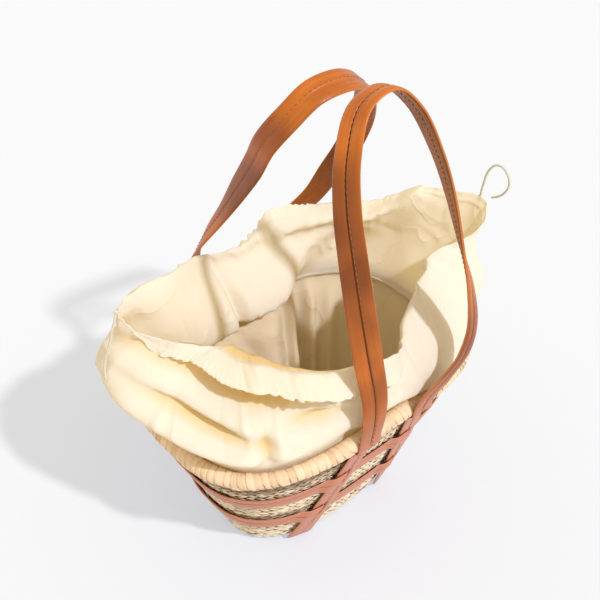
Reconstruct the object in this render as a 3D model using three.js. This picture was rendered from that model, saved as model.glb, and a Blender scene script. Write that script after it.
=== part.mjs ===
// A straw basket bag: a plaited basket with a wound rim, two leather bands threaded through
// two leather handles, a cotton lining, and a cotton drawstring collar that flops open.
// Millimetres, +Z up, +X along the mouth, -Y the front. The origin is under the middle of the base.
import * as THREE from 'three';

// Basket
const mouthLength = 328; // along the middle of the rim roll
const mouthWidth = 236;
const mouthSquareness = 2.9; // exponent of the mouth's rounded outline, 2 is an ellipse
const baseLength = 204;
const baseWidth = 114;
const baseSquareness = 2.35;
const rimHeight = 190; // middle of the rim roll above the floor, at the handles
const endDip = 12; // how much lower the rim's two ends are
const strawWall = 3;
const baseWall = 3;
const footRadius = 8; // rounding between the base and the wall
const rimThickness = 16;

// Leather
const strapWidth = 26;
const strapThickness = 2.4;
const bandHeight = 25;
const bandThickness = 2;
const bandHeights = [129, 64]; // middle of the upper and the lower band
const slitWidth = 8; // the slit in a strap that a band goes through
const slitSpare = 1.5; // how much longer a slit is than the band's height, at each end
const bandRamp = 13; // how far a band takes to climb onto a strap
const strapSpacingTop = 68; // between the two straps of one handle, at the rim
const strapSpacingFoot = 116; // and at the base
const strapFoot = 6; // where the straps end above the floor
const handleRise = 300; // top of the handles above the rim
const handleReach = 100; // unit of the handles' sideways shares

// Cotton
const clothThickness = 1.2;
const liningThickness = 1;
const collarRise = 100; // unit of the collar's shares, the height of its highest stretch
const gatherCount = 30; // puckers that the drawstring draws in the hem
const gatherDepth = 1.6;

// Drawstring
const cordDiameter = 2.4;

const clearance = 0.3; // between pieces that touch
const bandClearance = 0.5; // between a band and the rounded straw wall

// Fineness of the faceted surfaces
const basketSteps = 56;
const rimSteps = 90; // round the rim roll and the collar
const rimSides = 8;
const handleSteps = 34;
const outlineSamples = 720;

const rimRadius = rimThickness / 2;

// How the collar's cloth runs at each place round the mouth. around is the share of the rim, from
// the far end (+X) through the back. The other columns are shares of collarRise: out is away from
// the rim's middle and up is above rimHeight, for the cloth's belly, its crest and its hem.
const collarStations = [
  { around: 0.003, bellyOut: 0.24, bellyUp: 0.45, crestOut: 0.36, crestUp: 0.82, hemOut: 0.41, hemUp: 1.0 },
  { around: 0.026, bellyOut: 0.12, bellyUp: 0.45, crestOut: 0.17, crestUp: 0.9, hemOut: 0.3, hemUp: 0.96 },
  { around: 0.05, bellyOut: 0.05, bellyUp: 0.35, crestOut: 0.06, crestUp: 0.75, hemOut: 0.27, hemUp: 0.76 },
  { around: 0.081, bellyOut: -0.02, bellyUp: 0.3, crestOut: -0.12, crestUp: 0.62, hemOut: 0.14, hemUp: 0.66 },
  { around: 0.124, bellyOut: -0.06, bellyUp: 0.25, crestOut: -0.14, crestUp: 0.6, hemOut: 0.1, hemUp: 0.66 },
  { around: 0.165, bellyOut: -0.22, bellyUp: 0.16, crestOut: -0.08, crestUp: 0.6, hemOut: 0.12, hemUp: 0.74 },
  { around: 0.192, bellyOut: -0.42, bellyUp: 0.12, crestOut: -0.05, crestUp: 0.61, hemOut: 0.12, hemUp: 0.78 },
  { around: 0.21, bellyOut: -0.5, bellyUp: 0.08, crestOut: -0.03, crestUp: 0.62, hemOut: 0.06, hemUp: 0.64 },
  { around: 0.26, bellyOut: -0.5, bellyUp: 0.06, crestOut: -0.03, crestUp: 0.66, hemOut: 0.03, hemUp: 0.55 },
  { around: 0.3, bellyOut: -0.52, bellyUp: 0.08, crestOut: -0.05, crestUp: 0.8, hemOut: 0.02, hemUp: 0.68 },
  { around: 0.349, bellyOut: -0.52, bellyUp: 0.14, crestOut: -0.2, crestUp: 0.95, hemOut: -0.08, hemUp: 0.84 },
  { around: 0.385, bellyOut: -0.34, bellyUp: 0.3, crestOut: -0.1, crestUp: 1.0, hemOut: 0.04, hemUp: 0.9 },
  { around: 0.415, bellyOut: 0.02, bellyUp: 0.42, crestOut: 0.02, crestUp: 1.04, hemOut: 0.08, hemUp: 0.96 },
  { around: 0.449, bellyOut: 0.38, bellyUp: 0.55, crestOut: 0.14, crestUp: 1.06, hemOut: 0.12, hemUp: 1.12 },
  { around: 0.477, bellyOut: 0.36, bellyUp: 0.52, crestOut: -0.2, crestUp: 0.96, hemOut: -0.08, hemUp: 0.84 },
  { around: 0.52, bellyOut: 0.14, bellyUp: 0.36, crestOut: -0.52, crestUp: 0.84, hemOut: -0.26, hemUp: 0.84 },
  { around: 0.567, bellyOut: 0.02, bellyUp: 0.26, crestOut: -0.62, crestUp: 0.8, hemOut: -0.3, hemUp: 0.8 },
  { around: 0.614, bellyOut: 0.0, bellyUp: 0.2, crestOut: -0.56, crestUp: 0.8, hemOut: -0.23, hemUp: 0.78 },
  { around: 0.651, bellyOut: -0.02, bellyUp: 0.2, crestOut: -0.4, crestUp: 0.8, hemOut: -0.1, hemUp: 0.74 },
  { around: 0.686, bellyOut: -0.04, bellyUp: 0.2, crestOut: -0.24, crestUp: 0.78, hemOut: 0.0, hemUp: 0.66 },
  { around: 0.72, bellyOut: -0.02, bellyUp: 0.2, crestOut: -0.2, crestUp: 0.74, hemOut: -0.03, hemUp: 0.56 },
  { around: 0.755, bellyOut: 0.0, bellyUp: 0.2, crestOut: -0.14, crestUp: 0.66, hemOut: 0.01, hemUp: 0.45 },
  { around: 0.787, bellyOut: 0.03, bellyUp: 0.16, crestOut: -0.22, crestUp: 0.58, hemOut: -0.2, hemUp: 0.46 },
  { around: 0.826, bellyOut: 0.1, bellyUp: 0.16, crestOut: -0.43, crestUp: 0.6, hemOut: -0.46, hemUp: 0.48 },
  { around: 0.865, bellyOut: 0.08, bellyUp: 0.16, crestOut: -0.49, crestUp: 0.7, hemOut: -0.52, hemUp: 0.58 },
  { around: 0.922, bellyOut: 0.14, bellyUp: 0.25, crestOut: -0.42, crestUp: 0.8, hemOut: -0.45, hemUp: 0.7 },
  { around: 0.944, bellyOut: 0.27, bellyUp: 0.38, crestOut: -0.2, crestUp: 0.86, hemOut: -0.2, hemUp: 0.78 },
  { around: 0.96, bellyOut: 0.31, bellyUp: 0.45, crestOut: 0.15, crestUp: 0.84, hemOut: 0.2, hemUp: 0.82 },
  { around: 0.974, bellyOut: 0.28, bellyUp: 0.46, crestOut: 0.4, crestUp: 0.78, hemOut: 0.46, hemUp: 0.88 },
  { around: 0.987, bellyOut: 0.26, bellyUp: 0.46, crestOut: 0.48, crestUp: 0.8, hemOut: 0.58, hemUp: 0.98 },
];

// Soft folds across the collar. along is the share of the cloth from its seam to its hem, the
// reaches are how far a fold fades out in the same two shares, and depth is a share of collarRise.
// lean is how far a fold moves along the cloth for each whole turn round the mouth.
const collarFolds = [
  { around: 0.59, along: 0.68, reachAround: 0.11, reachAlong: 0.07, depth: -0.42, lean: 0 },
  { around: 0.57, along: 0.57, reachAround: 0.08, reachAlong: 0.04, depth: 0.1, lean: 0 },
  { around: 0.545, along: 0.48, reachAround: 0.055, reachAlong: 0.04, depth: -0.22, lean: -0.4 },
  { around: 0.55, along: 0.38, reachAround: 0.06, reachAlong: 0.05, depth: 0.08, lean: 0 },
  { around: 0.612, along: 0.4, reachAround: 0.008, reachAlong: 0.12, depth: -0.12, lean: 0 },
  { around: 0.7, along: 0.2, reachAround: 0.012, reachAlong: 0.16, depth: -0.035, lean: 0 },
  { around: 0.278, along: 0.5, reachAround: 0.009, reachAlong: 0.22, depth: 0.16, lean: 0 },
  { around: 0.22, along: 0.68, reachAround: 0.1, reachAlong: 0.08, depth: 0.12, lean: 0 },
  { around: 0.93, along: 0.45, reachAround: 0.014, reachAlong: 0.2, depth: -0.05, lean: 0 },
  { around: 0.1, along: 0.4, reachAround: 0.02, reachAlong: 0.2, depth: 0.03, lean: 0 },
];

// Soft folds down the lining, drawn into the bag. low and high are shares of rimHeight.
const liningFolds = [
  { around: 0.12, reachAround: 0.012, low: 0.3, high: 0.88, depth: 9 },
  { around: 0.15, reachAround: 0.009, low: 0.3, high: 0.9, depth: 14 },
  { around: 0.182, reachAround: 0.008, low: 0.3, high: 0.9, depth: 16 },
  { around: 0.23, reachAround: 0.035, low: 0.5, high: 0.92, depth: 30 },
  { around: 0.325, reachAround: 0.045, low: 0.4, high: 0.92, depth: 38 },
  { around: 0.4, reachAround: 0.03, low: 0.5, high: 0.92, depth: 14 },
  { around: 0.96, reachAround: 0.015, low: 0.3, high: 0.9, depth: 6 },
];

// The free part of each handle, from its left strap to its right one. across is in shares of
// handleReach, rise in shares of handleRise, and out in shares of the straps' distance from the
// middle. turn is how far the strap's width has turned away from +X, in degrees.
const frontHandle = [
  { across: -0.34, out: 1.0, rise: 0.02, turn: 0 },
  { across: -0.32, out: 1.01, rise: 0.1, turn: -6 },
  { across: -0.32, out: 1.0, rise: 0.19, turn: -14 },
  { across: -0.36, out: 0.94, rise: 0.35, turn: -32 },
  { across: -0.36, out: 0.86, rise: 0.48, turn: -46 },
  { across: -0.32, out: 0.73, rise: 0.64, turn: -58 },
  { across: -0.26, out: 0.61, rise: 0.773, turn: -68 },
  { across: -0.14, out: 0.5, rise: 0.887, turn: -76 },
  { across: 0.11, out: 0.39, rise: 0.987, turn: -84 },
  { across: 0.45, out: 0.37, rise: 1.0, turn: -92 },
  { across: 0.66, out: 0.45, rise: 0.93, turn: -98 },
  { across: 0.78, out: 0.59, rise: 0.8, turn: -106 },
  { across: 0.84, out: 0.71, rise: 0.667, turn: -114 },
  { across: 0.87, out: 0.83, rise: 0.517, turn: -126 },
  { across: 0.92, out: 0.94, rise: 0.36, turn: -146 },
  { across: 0.9, out: 1.01, rise: 0.23, turn: -160 },
  { across: 0.76, out: 1.05, rise: 0.163, turn: -168 },
  { across: 0.54, out: 1.05, rise: 0.105, turn: -176 },
  { across: 0.37, out: 1.03, rise: 0.06, turn: -180 },
  { across: 0.34, out: 1.01, rise: 0.02, turn: -180 },
];
const backHandle = [
  { across: -0.34, out: 1.0, rise: 0.02, turn: 0 },
  { across: -0.35, out: 1.03, rise: 0.1, turn: -8 },
  { across: -0.36, out: 1.03, rise: 0.19, turn: -22 },
  { across: -0.33, out: 0.92, rise: 0.3, turn: -36 },
  { across: -0.21, out: 0.78, rise: 0.42, turn: -54 },
  { across: -0.15, out: 0.61, rise: 0.55, turn: -76 },
  { across: -0.15, out: 0.43, rise: 0.67, turn: -87 },
  { across: -0.16, out: 0.28, rise: 0.78, turn: -90 },
  { across: -0.06, out: 0.13, rise: 0.88, turn: -90 },
  { across: 0.14, out: 0.07, rise: 0.94, turn: -90 },
  { across: 0.45, out: 0.06, rise: 0.943, turn: -92 },
  { across: 0.8, out: 0.14, rise: 0.88, turn: -98 },
  { across: 1.1, out: 0.34, rise: 0.76, turn: -104 },
  { across: 1.3, out: 0.53, rise: 0.62, turn: -112 },
  { across: 1.35, out: 0.71, rise: 0.47, turn: -122 },
  { across: 1.32, out: 0.88, rise: 0.34, turn: -136 },
  { across: 1.22, out: 1.0, rise: 0.23, turn: -152 },
  { across: 0.92, out: 1.1, rise: 0.14, turn: -166 },
  { across: 0.58, out: 1.09, rise: 0.105, turn: -176 },
  { across: 0.38, out: 1.04, rise: 0.065, turn: -180 },
  { across: 0.34, out: 1.01, rise: 0.02, turn: -180 },
];

// The two ends of the drawstring, each a small loop of cord, as points chosen along it.
const leftCordRoute = [
  [-169.9, 58.4, 304.5], [-172.5, 57, 300], [-177, 56, 291], [-181.5, 54, 283],
  [-186.5, 53, 274], [-191.2, 52, 265], [-194.6, 49, 257], [-197, 44.5, 251.5],
];
const rightCordRoute = [
  [220.3, -18.6, 289], [220.8, -18.8, 296], [221.5, -19.8, 305], [222, -21, 314],
  [223, -23.5, 322], [225, -28.5, 328.5], [227, -34.5, 329], [229, -40.5, 323.5],
  [230, -44.5, 314.5], [229.5, -43.5, 305], [228.5, -39, 297], [227.3, -33.5, 292],
  [226, -28.5, 289.5],
];

/** A smooth step from 0 at low to 1 at high. */
function smoothShare(value, low, high) {
  const t = Math.min(Math.max((value - low) / (high - low), 0), 1);
  return t * t * (3 - 2 * t);
}

/** A point on a rounded outline, as (x, y), with signs kept on each side. */
function outlinePoint(halfLength, halfWidth, squareness, angle) {
  const c = Math.cos(angle);
  const s = Math.sin(angle);
  const power = 2 / squareness;
  const x = halfLength * Math.sign(c) * Math.abs(c) ** power;
  const y = halfWidth * Math.sign(s) * Math.abs(s) ** power;
  return new THREE.Vector2(x, y);
}

/** The outline's outward normal at a point on it. */
function outlineNormal(halfLength, halfWidth, squareness, point) {
  const x = Math.sign(point.x) * Math.abs(point.x / halfLength) ** (squareness - 1) / halfLength;
  const y = Math.sign(point.y) * Math.abs(point.y / halfWidth) ** (squareness - 1) / halfWidth;
  return new THREE.Vector2(x, y).normalize();
}

/** The angle on the mouth's outline at a share of the way round it. */
const angleAt = (() => {
  const lengths = [0];
  let before = outlinePoint(mouthLength / 2, mouthWidth / 2, mouthSquareness, 0);
  for (let i = 1; i <= outlineSamples; i += 1) {
    const angle = (i / outlineSamples) * Math.PI * 2;
    const point = outlinePoint(mouthLength / 2, mouthWidth / 2, mouthSquareness, angle);
    lengths.push(lengths[i - 1] + point.distanceTo(before));
    before = point;
  }
  return (around) => {
    const wrapped = around - Math.floor(around);
    const wanted = wrapped * lengths[outlineSamples];
    let i = 0;
    while (lengths[i + 1] < wanted) i += 1;
    const part = (wanted - lengths[i]) / (lengths[i + 1] - lengths[i]);
    return ((i + part) / outlineSamples) * Math.PI * 2;
  };
})();

/** The basket's outline at a height, from the base's sizes to the mouth's. */
function basketOutline(height) {
  const share = Math.max(height / rimHeight, 0);
  return {
    share,
    halfLength: THREE.MathUtils.lerp(baseLength, mouthLength, share) / 2,
    halfWidth: THREE.MathUtils.lerp(baseWidth, mouthWidth, share) / 2,
    squareness: THREE.MathUtils.lerp(baseSquareness, mouthSquareness, share),
  };
}

/** A point of the straw wall's middle at an angle and height, moved outwards by out. */
function wallPoint(angle, height, out) {
  const { share, halfLength, halfWidth, squareness } = basketOutline(height);
  const point = outlinePoint(halfLength, halfWidth, squareness, angle);
  const normal = outlineNormal(halfLength, halfWidth, squareness, point);
  const dip = endDip * share * (point.x / halfLength) ** 2;
  return new THREE.Vector3(point.x + normal.x * out, point.y + normal.y * out, height - dip);
}

/** The angle on the wall at a height where its middle has a given x, on one side (-1 front, 1 back). */
function angleAtX(x, height, side) {
  const { halfLength, squareness } = basketOutline(height);
  const c = Math.sign(x) * Math.abs(x / halfLength) ** (squareness / 2);
  return side * Math.acos(c);
}

/** A closed solid from rings of points. With poles it is capped by a fan at each end, and without
 * them the last ring joins the first. */
function solidFromRings(rings, startPole, endPole) {
  const count = rings[0].length;
  const points = rings.flat();
  const faces = [];
  const joined = startPole ? rings.length - 1 : rings.length;
  for (let r = 0; r < joined; r += 1) {
    const a = r * count;
    const b = ((r + 1) % rings.length) * count;
    for (let i = 0; i < count; i += 1) {
      const j = (i + 1) % count;
      faces.push([a + i, a + j, b + j], [a + i, b + j, b + i]);
    }
  }
  if (startPole) {
    const first = points.push(startPole) - 1;
    const last = points.push(endPole) - 1;
    const b = (rings.length - 1) * count;
    for (let i = 0; i < count; i += 1) {
      const j = (i + 1) % count;
      faces.push([first, j, i], [last, b + i, b + j]);
    }
  }
  return geometryFrom(points, faces);
}

/** A closed solid from a grid of cells with a front and a back point at each corner. has(r, c)
 * says whether a cell is there, so that a strap can have slits. */
function solidFromGrid(front, back, has) {
  const rows = front.length;
  const columns = front[0].length;
  const points = [...front.flat(), ...back.flat()];
  const under = rows * columns;
  const faces = [];
  const at = (r, c) => r * columns + c;
  const wall = (p, q) => faces.push([p, q, q + under], [p, q + under, p + under]);
  const there = (r, c) => r >= 0 && c >= 0 && r < rows - 1 && c < columns - 1 && has(r, c);
  for (let r = 0; r < rows - 1; r += 1) {
    for (let c = 0; c < columns - 1; c += 1) {
      if (!there(r, c)) continue;
      const [p, q, s, t] = [at(r, c), at(r, c + 1), at(r + 1, c + 1), at(r + 1, c)];
      faces.push([p, s, q], [p, t, s]);
      faces.push([p + under, q + under, s + under], [p + under, s + under, t + under]);
      if (!there(r - 1, c)) wall(p, q);
      if (!there(r, c + 1)) wall(q, s);
      if (!there(r + 1, c)) wall(s, t);
      if (!there(r, c - 1)) wall(t, p);
    }
  }
  return geometryFrom(points, faces);
}

/** An indexed geometry without points that no face uses, its faces turned outwards. */
function geometryFrom(points, faces) {
  let volume = 0;
  for (const [a, b, c] of faces) {
    volume += points[a].dot(new THREE.Vector3().crossVectors(points[b], points[c]));
  }
  const turned = volume < 0 ? faces.map(([a, b, c]) => [a, c, b]) : faces;
  const used = new Map();
  const positions = [];
  const index = turned.flat().map((i) => {
    if (!used.has(i)) {
      used.set(i, used.size);
      positions.push(points[i].x, points[i].y, points[i].z);
    }
    return used.get(i);
  });
  const geometry = new THREE.BufferGeometry();
  geometry.setAttribute('position', new THREE.Float32BufferAttribute(positions, 3));
  geometry.setIndex(index);
  geometry.computeVertexNormals();
  return geometry;
}

/** A column of a table of stations round the mouth, as a smooth function of around. */
function columnAround(stations, name) {
  const count = stations.length;
  const at = (i) => stations[((i % count) + count) % count].around + Math.floor(i / count);
  const value = (i) => stations[((i % count) + count) % count][name];
  const slope = (i) => {
    const before = (value(i) - value(i - 1)) / (at(i) - at(i - 1));
    const after = (value(i + 1) - value(i)) / (at(i + 1) - at(i));
    return before * after > 0 ? (2 * before * after) / (before + after) : 0;
  };
  return (around) => {
    const wanted = around < at(0) ? around + 1 : around;
    let i = 0;
    while (i < count - 1 && at(i + 1) <= wanted) i += 1;
    const width = at(i + 1) - at(i);
    const t = (wanted - at(i)) / width;
    const [t2, t3] = [t * t, t * t * t];
    const from = (2 * t3 - 3 * t2 + 1) * value(i) + (t3 - 2 * t2 + t) * width * slope(i);
    return from + (3 * t2 - 2 * t3) * value(i + 1) + (t3 - t2) * width * slope(i + 1);
  };
}

const bellyOut = columnAround(collarStations, 'bellyOut');
const bellyUp = columnAround(collarStations, 'bellyUp');
const crestOut = columnAround(collarStations, 'crestOut');
const crestUp = columnAround(collarStations, 'crestUp');
const hemOut = columnAround(collarStations, 'hemOut');
const hemUp = columnAround(collarStations, 'hemUp');

/** How far a bump at 0 with a given reach still counts at a distance from it. */
function fade(distance, reach) {
  return Math.exp(-((distance / reach) ** 2));
}

/** The shorter way round between two shares of the rim. */
function apart(a, b) {
  const way = Math.abs(a - b) % 1;
  return Math.min(way, 1 - way);
}

const spineShare = 0.55; // the cloth leans along spokes from a line that is this share of the mouth
const collarClear = rimRadius + clearance + clothThickness / 2 + 0.8; // its middle off the rim roll
const collarSeam = rimRadius + 2 * clearance + clothThickness / 2; // the seam inside the rim roll
const collarSeamDrop = 3.5; // and how far below the roll's middle it is
const wrapStep = 5; // between the rows of cloth that go over the roll
const wrapRows = 3;
const seamPlace = { x: -collarSeam, y: -collarSeamDrop };

/** The points where the cloth goes from its seam round the rim roll and straight on to the belly. */
function wrapPoints(belly) {
  const seamTurn = Math.PI + Math.atan2(collarSeamDrop, collarSeam);
  const bellyTurn = Math.atan2(belly.y, belly.x);
  const touching = bellyTurn + Math.acos(collarClear / Math.max(belly.length(), collarClear));
  const arcEnd = Math.min(seamTurn, touching);
  const arcLength = (seamTurn - arcEnd) * collarClear;
  const left = new THREE.Vector3(Math.cos(arcEnd), Math.sin(arcEnd), 0).multiplyScalar(collarClear);
  const from = arcLength > 0 ? left : new THREE.Vector3(seamPlace.x, seamPlace.y, 0);
  const straight = belly.clone().sub(from);
  const points = [new THREE.Vector3(seamPlace.x, seamPlace.y, 0)];
  for (let i = 1; i <= wrapRows; i += 1) {
    const gone = i * wrapStep;
    const turn = seamTurn - gone / collarClear;
    const onArc = new THREE.Vector3(Math.cos(turn), Math.sin(turn), 0).multiplyScalar(collarClear);
    const onLine = from.clone().addScaledVector(straight.clone().normalize(), gone - arcLength);
    points.push(gone < arcLength ? onArc : onLine);
  }
  return points;
}

/** The collar's section at one place round the mouth, as the middle of its cloth at each row from
 * the seam to the hem. x is out from the rim roll's middle there and y is up from it. sunk is how
 * far that middle is below rimHeight. */
function collarProfile(around, sunk) {
  const at = (out, up) => new THREE.Vector3(out(around), up(around), 0)
    .multiplyScalar(collarRise)
    .add(new THREE.Vector3(0, sunk, 0));
  const belly = at(bellyOut, bellyUp);
  const knots = [...wrapPoints(belly), belly, at(crestOut, crestUp), at(hemOut, hemUp)];
  const curve = new THREE.CatmullRomCurve3(knots, false, 'centripetal');
  const rows = [
    { knot: 0, along: 0 },
    { knot: 1, along: 0.05 },
    { knot: 2, along: 0.1 },
    { knot: 3, along: 0.15 },
    { knot: 3.5, along: 0.27 },
    { knot: 4, along: 0.4 },
    { knot: 4.2, along: 0.48 },
    { knot: 4.4, along: 0.57 },
    { knot: 4.67, along: 0.68 },
    { knot: 5, along: 0.82 },
    { knot: 6, along: 1 },
  ];
  return rows.map(({ knot, along }) => {
    const place = curve.getPoint(knot / (knots.length - 1));
    for (const fold of collarFolds) {
      const near = fade(apart(around, fold.around), fold.reachAround);
      const way = along - fold.along - fold.lean * (around - fold.around);
      place.x += fold.depth * collarRise * near * fade(way, fold.reachAlong);
    }
    const gathered = gatherDepth * smoothShare(along, 0.62, 0.95);
    place.x += gathered * Math.sin(around * gatherCount * Math.PI * 2);
    if (knot > 0 && place.length() < collarClear) place.setLength(collarClear);
    return place;
  });
}

/** The collar: one band of cloth round the mouth. */
function collarGeometry() {
  const columns = Array.from({ length: rimSteps }, (_, i) => {
    const around = i / rimSteps;
    const ring = wallPoint(angleAt(around), rimHeight, 0);
    const spoke = new THREE.Vector3(ring.x * (1 - spineShare), ring.y, 0).normalize();
    return collarProfile(around, rimHeight - ring.z).map(({ x, y }) => {
      const point = ring.clone().addScaledVector(spoke, x);
      point.z += y;
      return point;
    });
  });
  const last = columns[0].length - 1;
  const rings = { inner: [], outer: [] };
  for (let row = 0; row <= last; row += 1) {
    const half = columns.map((column, i) => {
      const next = columns[(i + 1) % rimSteps][row];
      const before = columns[(i + rimSteps - 1) % rimSteps][row];
      const sideways = next.clone().sub(before);
      const upwards = column[Math.min(row + 1, last)].clone().sub(column[Math.max(row - 1, 0)]);
      return sideways.cross(upwards).setLength(clothThickness / 2);
    });
    rings.outer.push(columns.map((column, i) => column[row].clone().add(half[i])));
    rings.inner.push(columns.map((column, i) => column[row].clone().sub(half[i])));
  }
  return solidFromRings([...rings.outer, ...rings.inner.reverse()]);
}

/** A ring of points round the basket from a function of the angle. */
function ringOf(count, place) {
  return Array.from({ length: count }, (_, i) => place(angleAt(i / count), i / count));
}

const wallTop = rimHeight - rimRadius - clearance;

/** A height that is a share of the way up the wall, from the base's rounding to the rim roll. */
function wallHeight(share) {
  return THREE.MathUtils.lerp(footRadius, wallTop, share);
}

/** The plaited basket: a thin wall on a flat base. */
function basketGeometry() {
  const inset = footRadius * (1 - Math.SQRT1_2);
  const outside = strawWall / 2;
  const rows = [
    [0, outside - footRadius],
    [inset, outside - inset],
    [footRadius, outside],
    ...[0.25, 0.5, 0.75, 1].map((share) => [wallHeight(share), outside]),
    ...[1, 0.66, 0.33, 0].map((share) => [wallHeight(share), -outside]),
    [baseWall, -outside - footRadius / 2],
  ];
  const rings = rows.map(([height, out]) => {
    return ringOf(basketSteps, (angle) => wallPoint(angle, height, out));
  });
  return solidFromRings(rings, new THREE.Vector3(), new THREE.Vector3(0, 0, baseWall));
}

/** The wound roll along the rim. */
function rimGeometry() {
  const rings = Array.from({ length: rimSides }, (_, i) => {
    const turn = (i / rimSides) * Math.PI * 2;
    return ringOf(rimSteps, (angle) => {
      const point = wallPoint(angle, rimHeight, Math.cos(turn) * rimRadius);
      point.z += Math.sin(turn) * rimRadius;
      return point;
    });
  });
  return solidFromRings(rings);
}

const strapIn = strawWall / 2 + bandClearance + bandThickness + clearance; // a strap's back face
const strapOut = strapIn + strapThickness;

/** The x of a strap's middle at a height. */
function strapX(height) {
  return THREE.MathUtils.lerp(strapSpacingFoot, strapSpacingTop, height / rimHeight) / 2;
}

/** A leather band round the basket, over one half of each strap, through its slit and under the
 * other half. */
function bandGeometry(middleHeight) {
  const low = strawWall / 2 + bandClearance;
  const high = strapOut + clearance;
  const half = strapWidth / 2;
  // Places across a strap, in the direction of around, and how far out the band lies there.
  const crossing = [
    [-half - bandRamp, low],
    [-half - 1, high],
    [-slitWidth / 2, high],
    [slitWidth / 2 - 1, low],
    [half + 2, low],
  ];
  const corners = [[1, 1], [-1, 1], [-1, -1], [1, -1]]; // sides of x and y, in the order round
  const crossingsAt = (height) => corners.map(([sideX, sideY]) => crossing.map(([u, out]) => {
    const angle = angleAtX(sideX * strapX(height) - sideY * u, height, sideY);
    return { angle: angle < 0 ? angle + Math.PI * 2 : angle, out };
  }));
  const crossings = crossingsAt(middleHeight);
  const spare = 0.05;
  const free = Array.from({ length: basketSteps }, (_, i) => angleAt(i / basketSteps));
  const plain = free.filter((angle) => !crossings.some((strap) => {
    return angle > strap[0].angle - spare && angle < strap[strap.length - 1].angle + spare;
  }));
  const ring = (height, extra) => {
    const stations = [...plain.map((angle) => ({ angle, out: low })), ...crossingsAt(height).flat()];
    stations.sort((a, b) => a.angle - b.angle);
    return stations.map(({ angle, out }) => wallPoint(angle, height, out + extra));
  };
  const bottom = middleHeight - bandHeight / 2;
  const top = middleHeight + bandHeight / 2;
  return solidFromRings([
    ring(bottom, 0),
    ring(bottom, bandThickness),
    ring(top, bandThickness),
    ring(top, 0),
  ]);
}

/** The rows of a strap on the wall, from its foot up and out round the rim roll. Each has its
 * height and how far its back face is from the middle of the wall. */
function strapRows() {
  const heights = [strapFoot, (strapFoot + bandHeights[1]) / 3];
  for (const middle of [...bandHeights].reverse()) {
    const reach = bandHeight / 2 + slitSpare;
    heights.push(middle - reach, middle, middle + reach);
  }
  heights.push((bandHeights[0] + rimHeight) / 2);
  const rows = heights.map((height) => ({ height, stand: strapIn }));
  const around = (rimRadius + clearance) / Math.cos(Math.PI / 18);
  const slope = (mouthWidth - baseWidth) / 2 / rimHeight;
  for (const degrees of [60, 40, 20, 0]) {
    const turn = THREE.MathUtils.degToRad(degrees);
    const below = around * Math.sin(turn);
    rows.push({ height: rimHeight - below, stand: around * Math.cos(turn) + below * slope });
  }
  return rows;
}

/** A handle: a strap up the wall, a free loop, and a strap down the wall again. side is -1 for the
 * front handle and 1 for the back one. */
function handleGeometry(route, side) {
  const half = strapWidth / 2;
  const across = [-half, -slitWidth / 2, slitWidth / 2, half];
  const wallRows = strapRows();
  const back = [];
  const front = [];
  const slits = [];
  const addWallRow = ({ height, stand }, leg) => {
    const place = (u, out) => {
      const x = leg * strapX(height) - leg * u;
      return wallPoint(angleAtX(x, height, side), height, out);
    };
    back.push(across.map((u) => place(u, stand)));
    front.push(across.map((u) => place(u, stand + strapThickness)));
    slits.push(height);
  };
  wallRows.forEach((row) => addWallRow(row, -1));

  const strapY = mouthWidth / 2 + rimRadius + clearance + strapThickness / 2;
  const curve = new THREE.CatmullRomCurve3(route.map((row) => new THREE.Vector3(
    row.across * handleReach,
    side * row.out * strapY,
    rimHeight + row.rise * handleRise,
  )), false, 'centripetal');
  const turns = new THREE.CatmullRomCurve3(
    route.map((row) => new THREE.Vector3(row.turn, 0, 0)),
    false,
    'centripetal',
  );
  const top = curve.points.reduce((best, point) => (point.z > best.z ? point : best));
  const foot = curve.points[0];
  const lean = new THREE.Vector3(0, top.y - foot.y, top.z - foot.z).normalize();
  const aside = new THREE.Vector3(0, -side * lean.z, side * lean.y);
  for (let i = 0; i <= handleSteps; i += 1) {
    const share = i / handleSteps;
    const middle = curve.getPoint(share);
    const tangent = curve.getTangent(share);
    const turn = THREE.MathUtils.degToRad(turns.getPoint(share).x);
    const width = new THREE.Vector3(Math.cos(turn), 0, 0).addScaledVector(aside, Math.sin(turn));
    width.addScaledVector(tangent, -width.dot(tangent)).normalize();
    const normal = new THREE.Vector3().crossVectors(width, tangent).multiplyScalar(-side);
    const halfThick = strapThickness / 2;
    const row = across.map((u) => middle.clone().addScaledVector(width, u));
    back.push(row.map((point) => point.clone().addScaledVector(normal, -halfThick)));
    front.push(row.map((point) => point.clone().addScaledVector(normal, halfThick)));
    slits.push(undefined);
  }
  [...wallRows].reverse().forEach((row) => addWallRow(row, 1));

  const reach = bandHeight / 2;
  const has = (r, c) => {
    const [a, b] = [slits[r], slits[r + 1]];
    if (c !== 1 || a === undefined || b === undefined) return true;
    return !bandHeights.some((middle) => Math.abs((a + b) / 2 - middle) < reach);
  };
  return solidFromGrid(front, back, has);
}

/** How far the lining's folds stand into the bag at a place. */
function liningFold(around, height) {
  let depth = 0;
  for (const fold of liningFolds) {
    const low = smoothShare(height / rimHeight, fold.low - 0.2, fold.low + 0.1);
    const high = 1 - smoothShare(height / rimHeight, fold.high - 0.1, fold.high + 0.1);
    depth += fold.depth * low * high * fade(apart(around, fold.around), fold.reachAround);
  }
  return depth;
}

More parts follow.
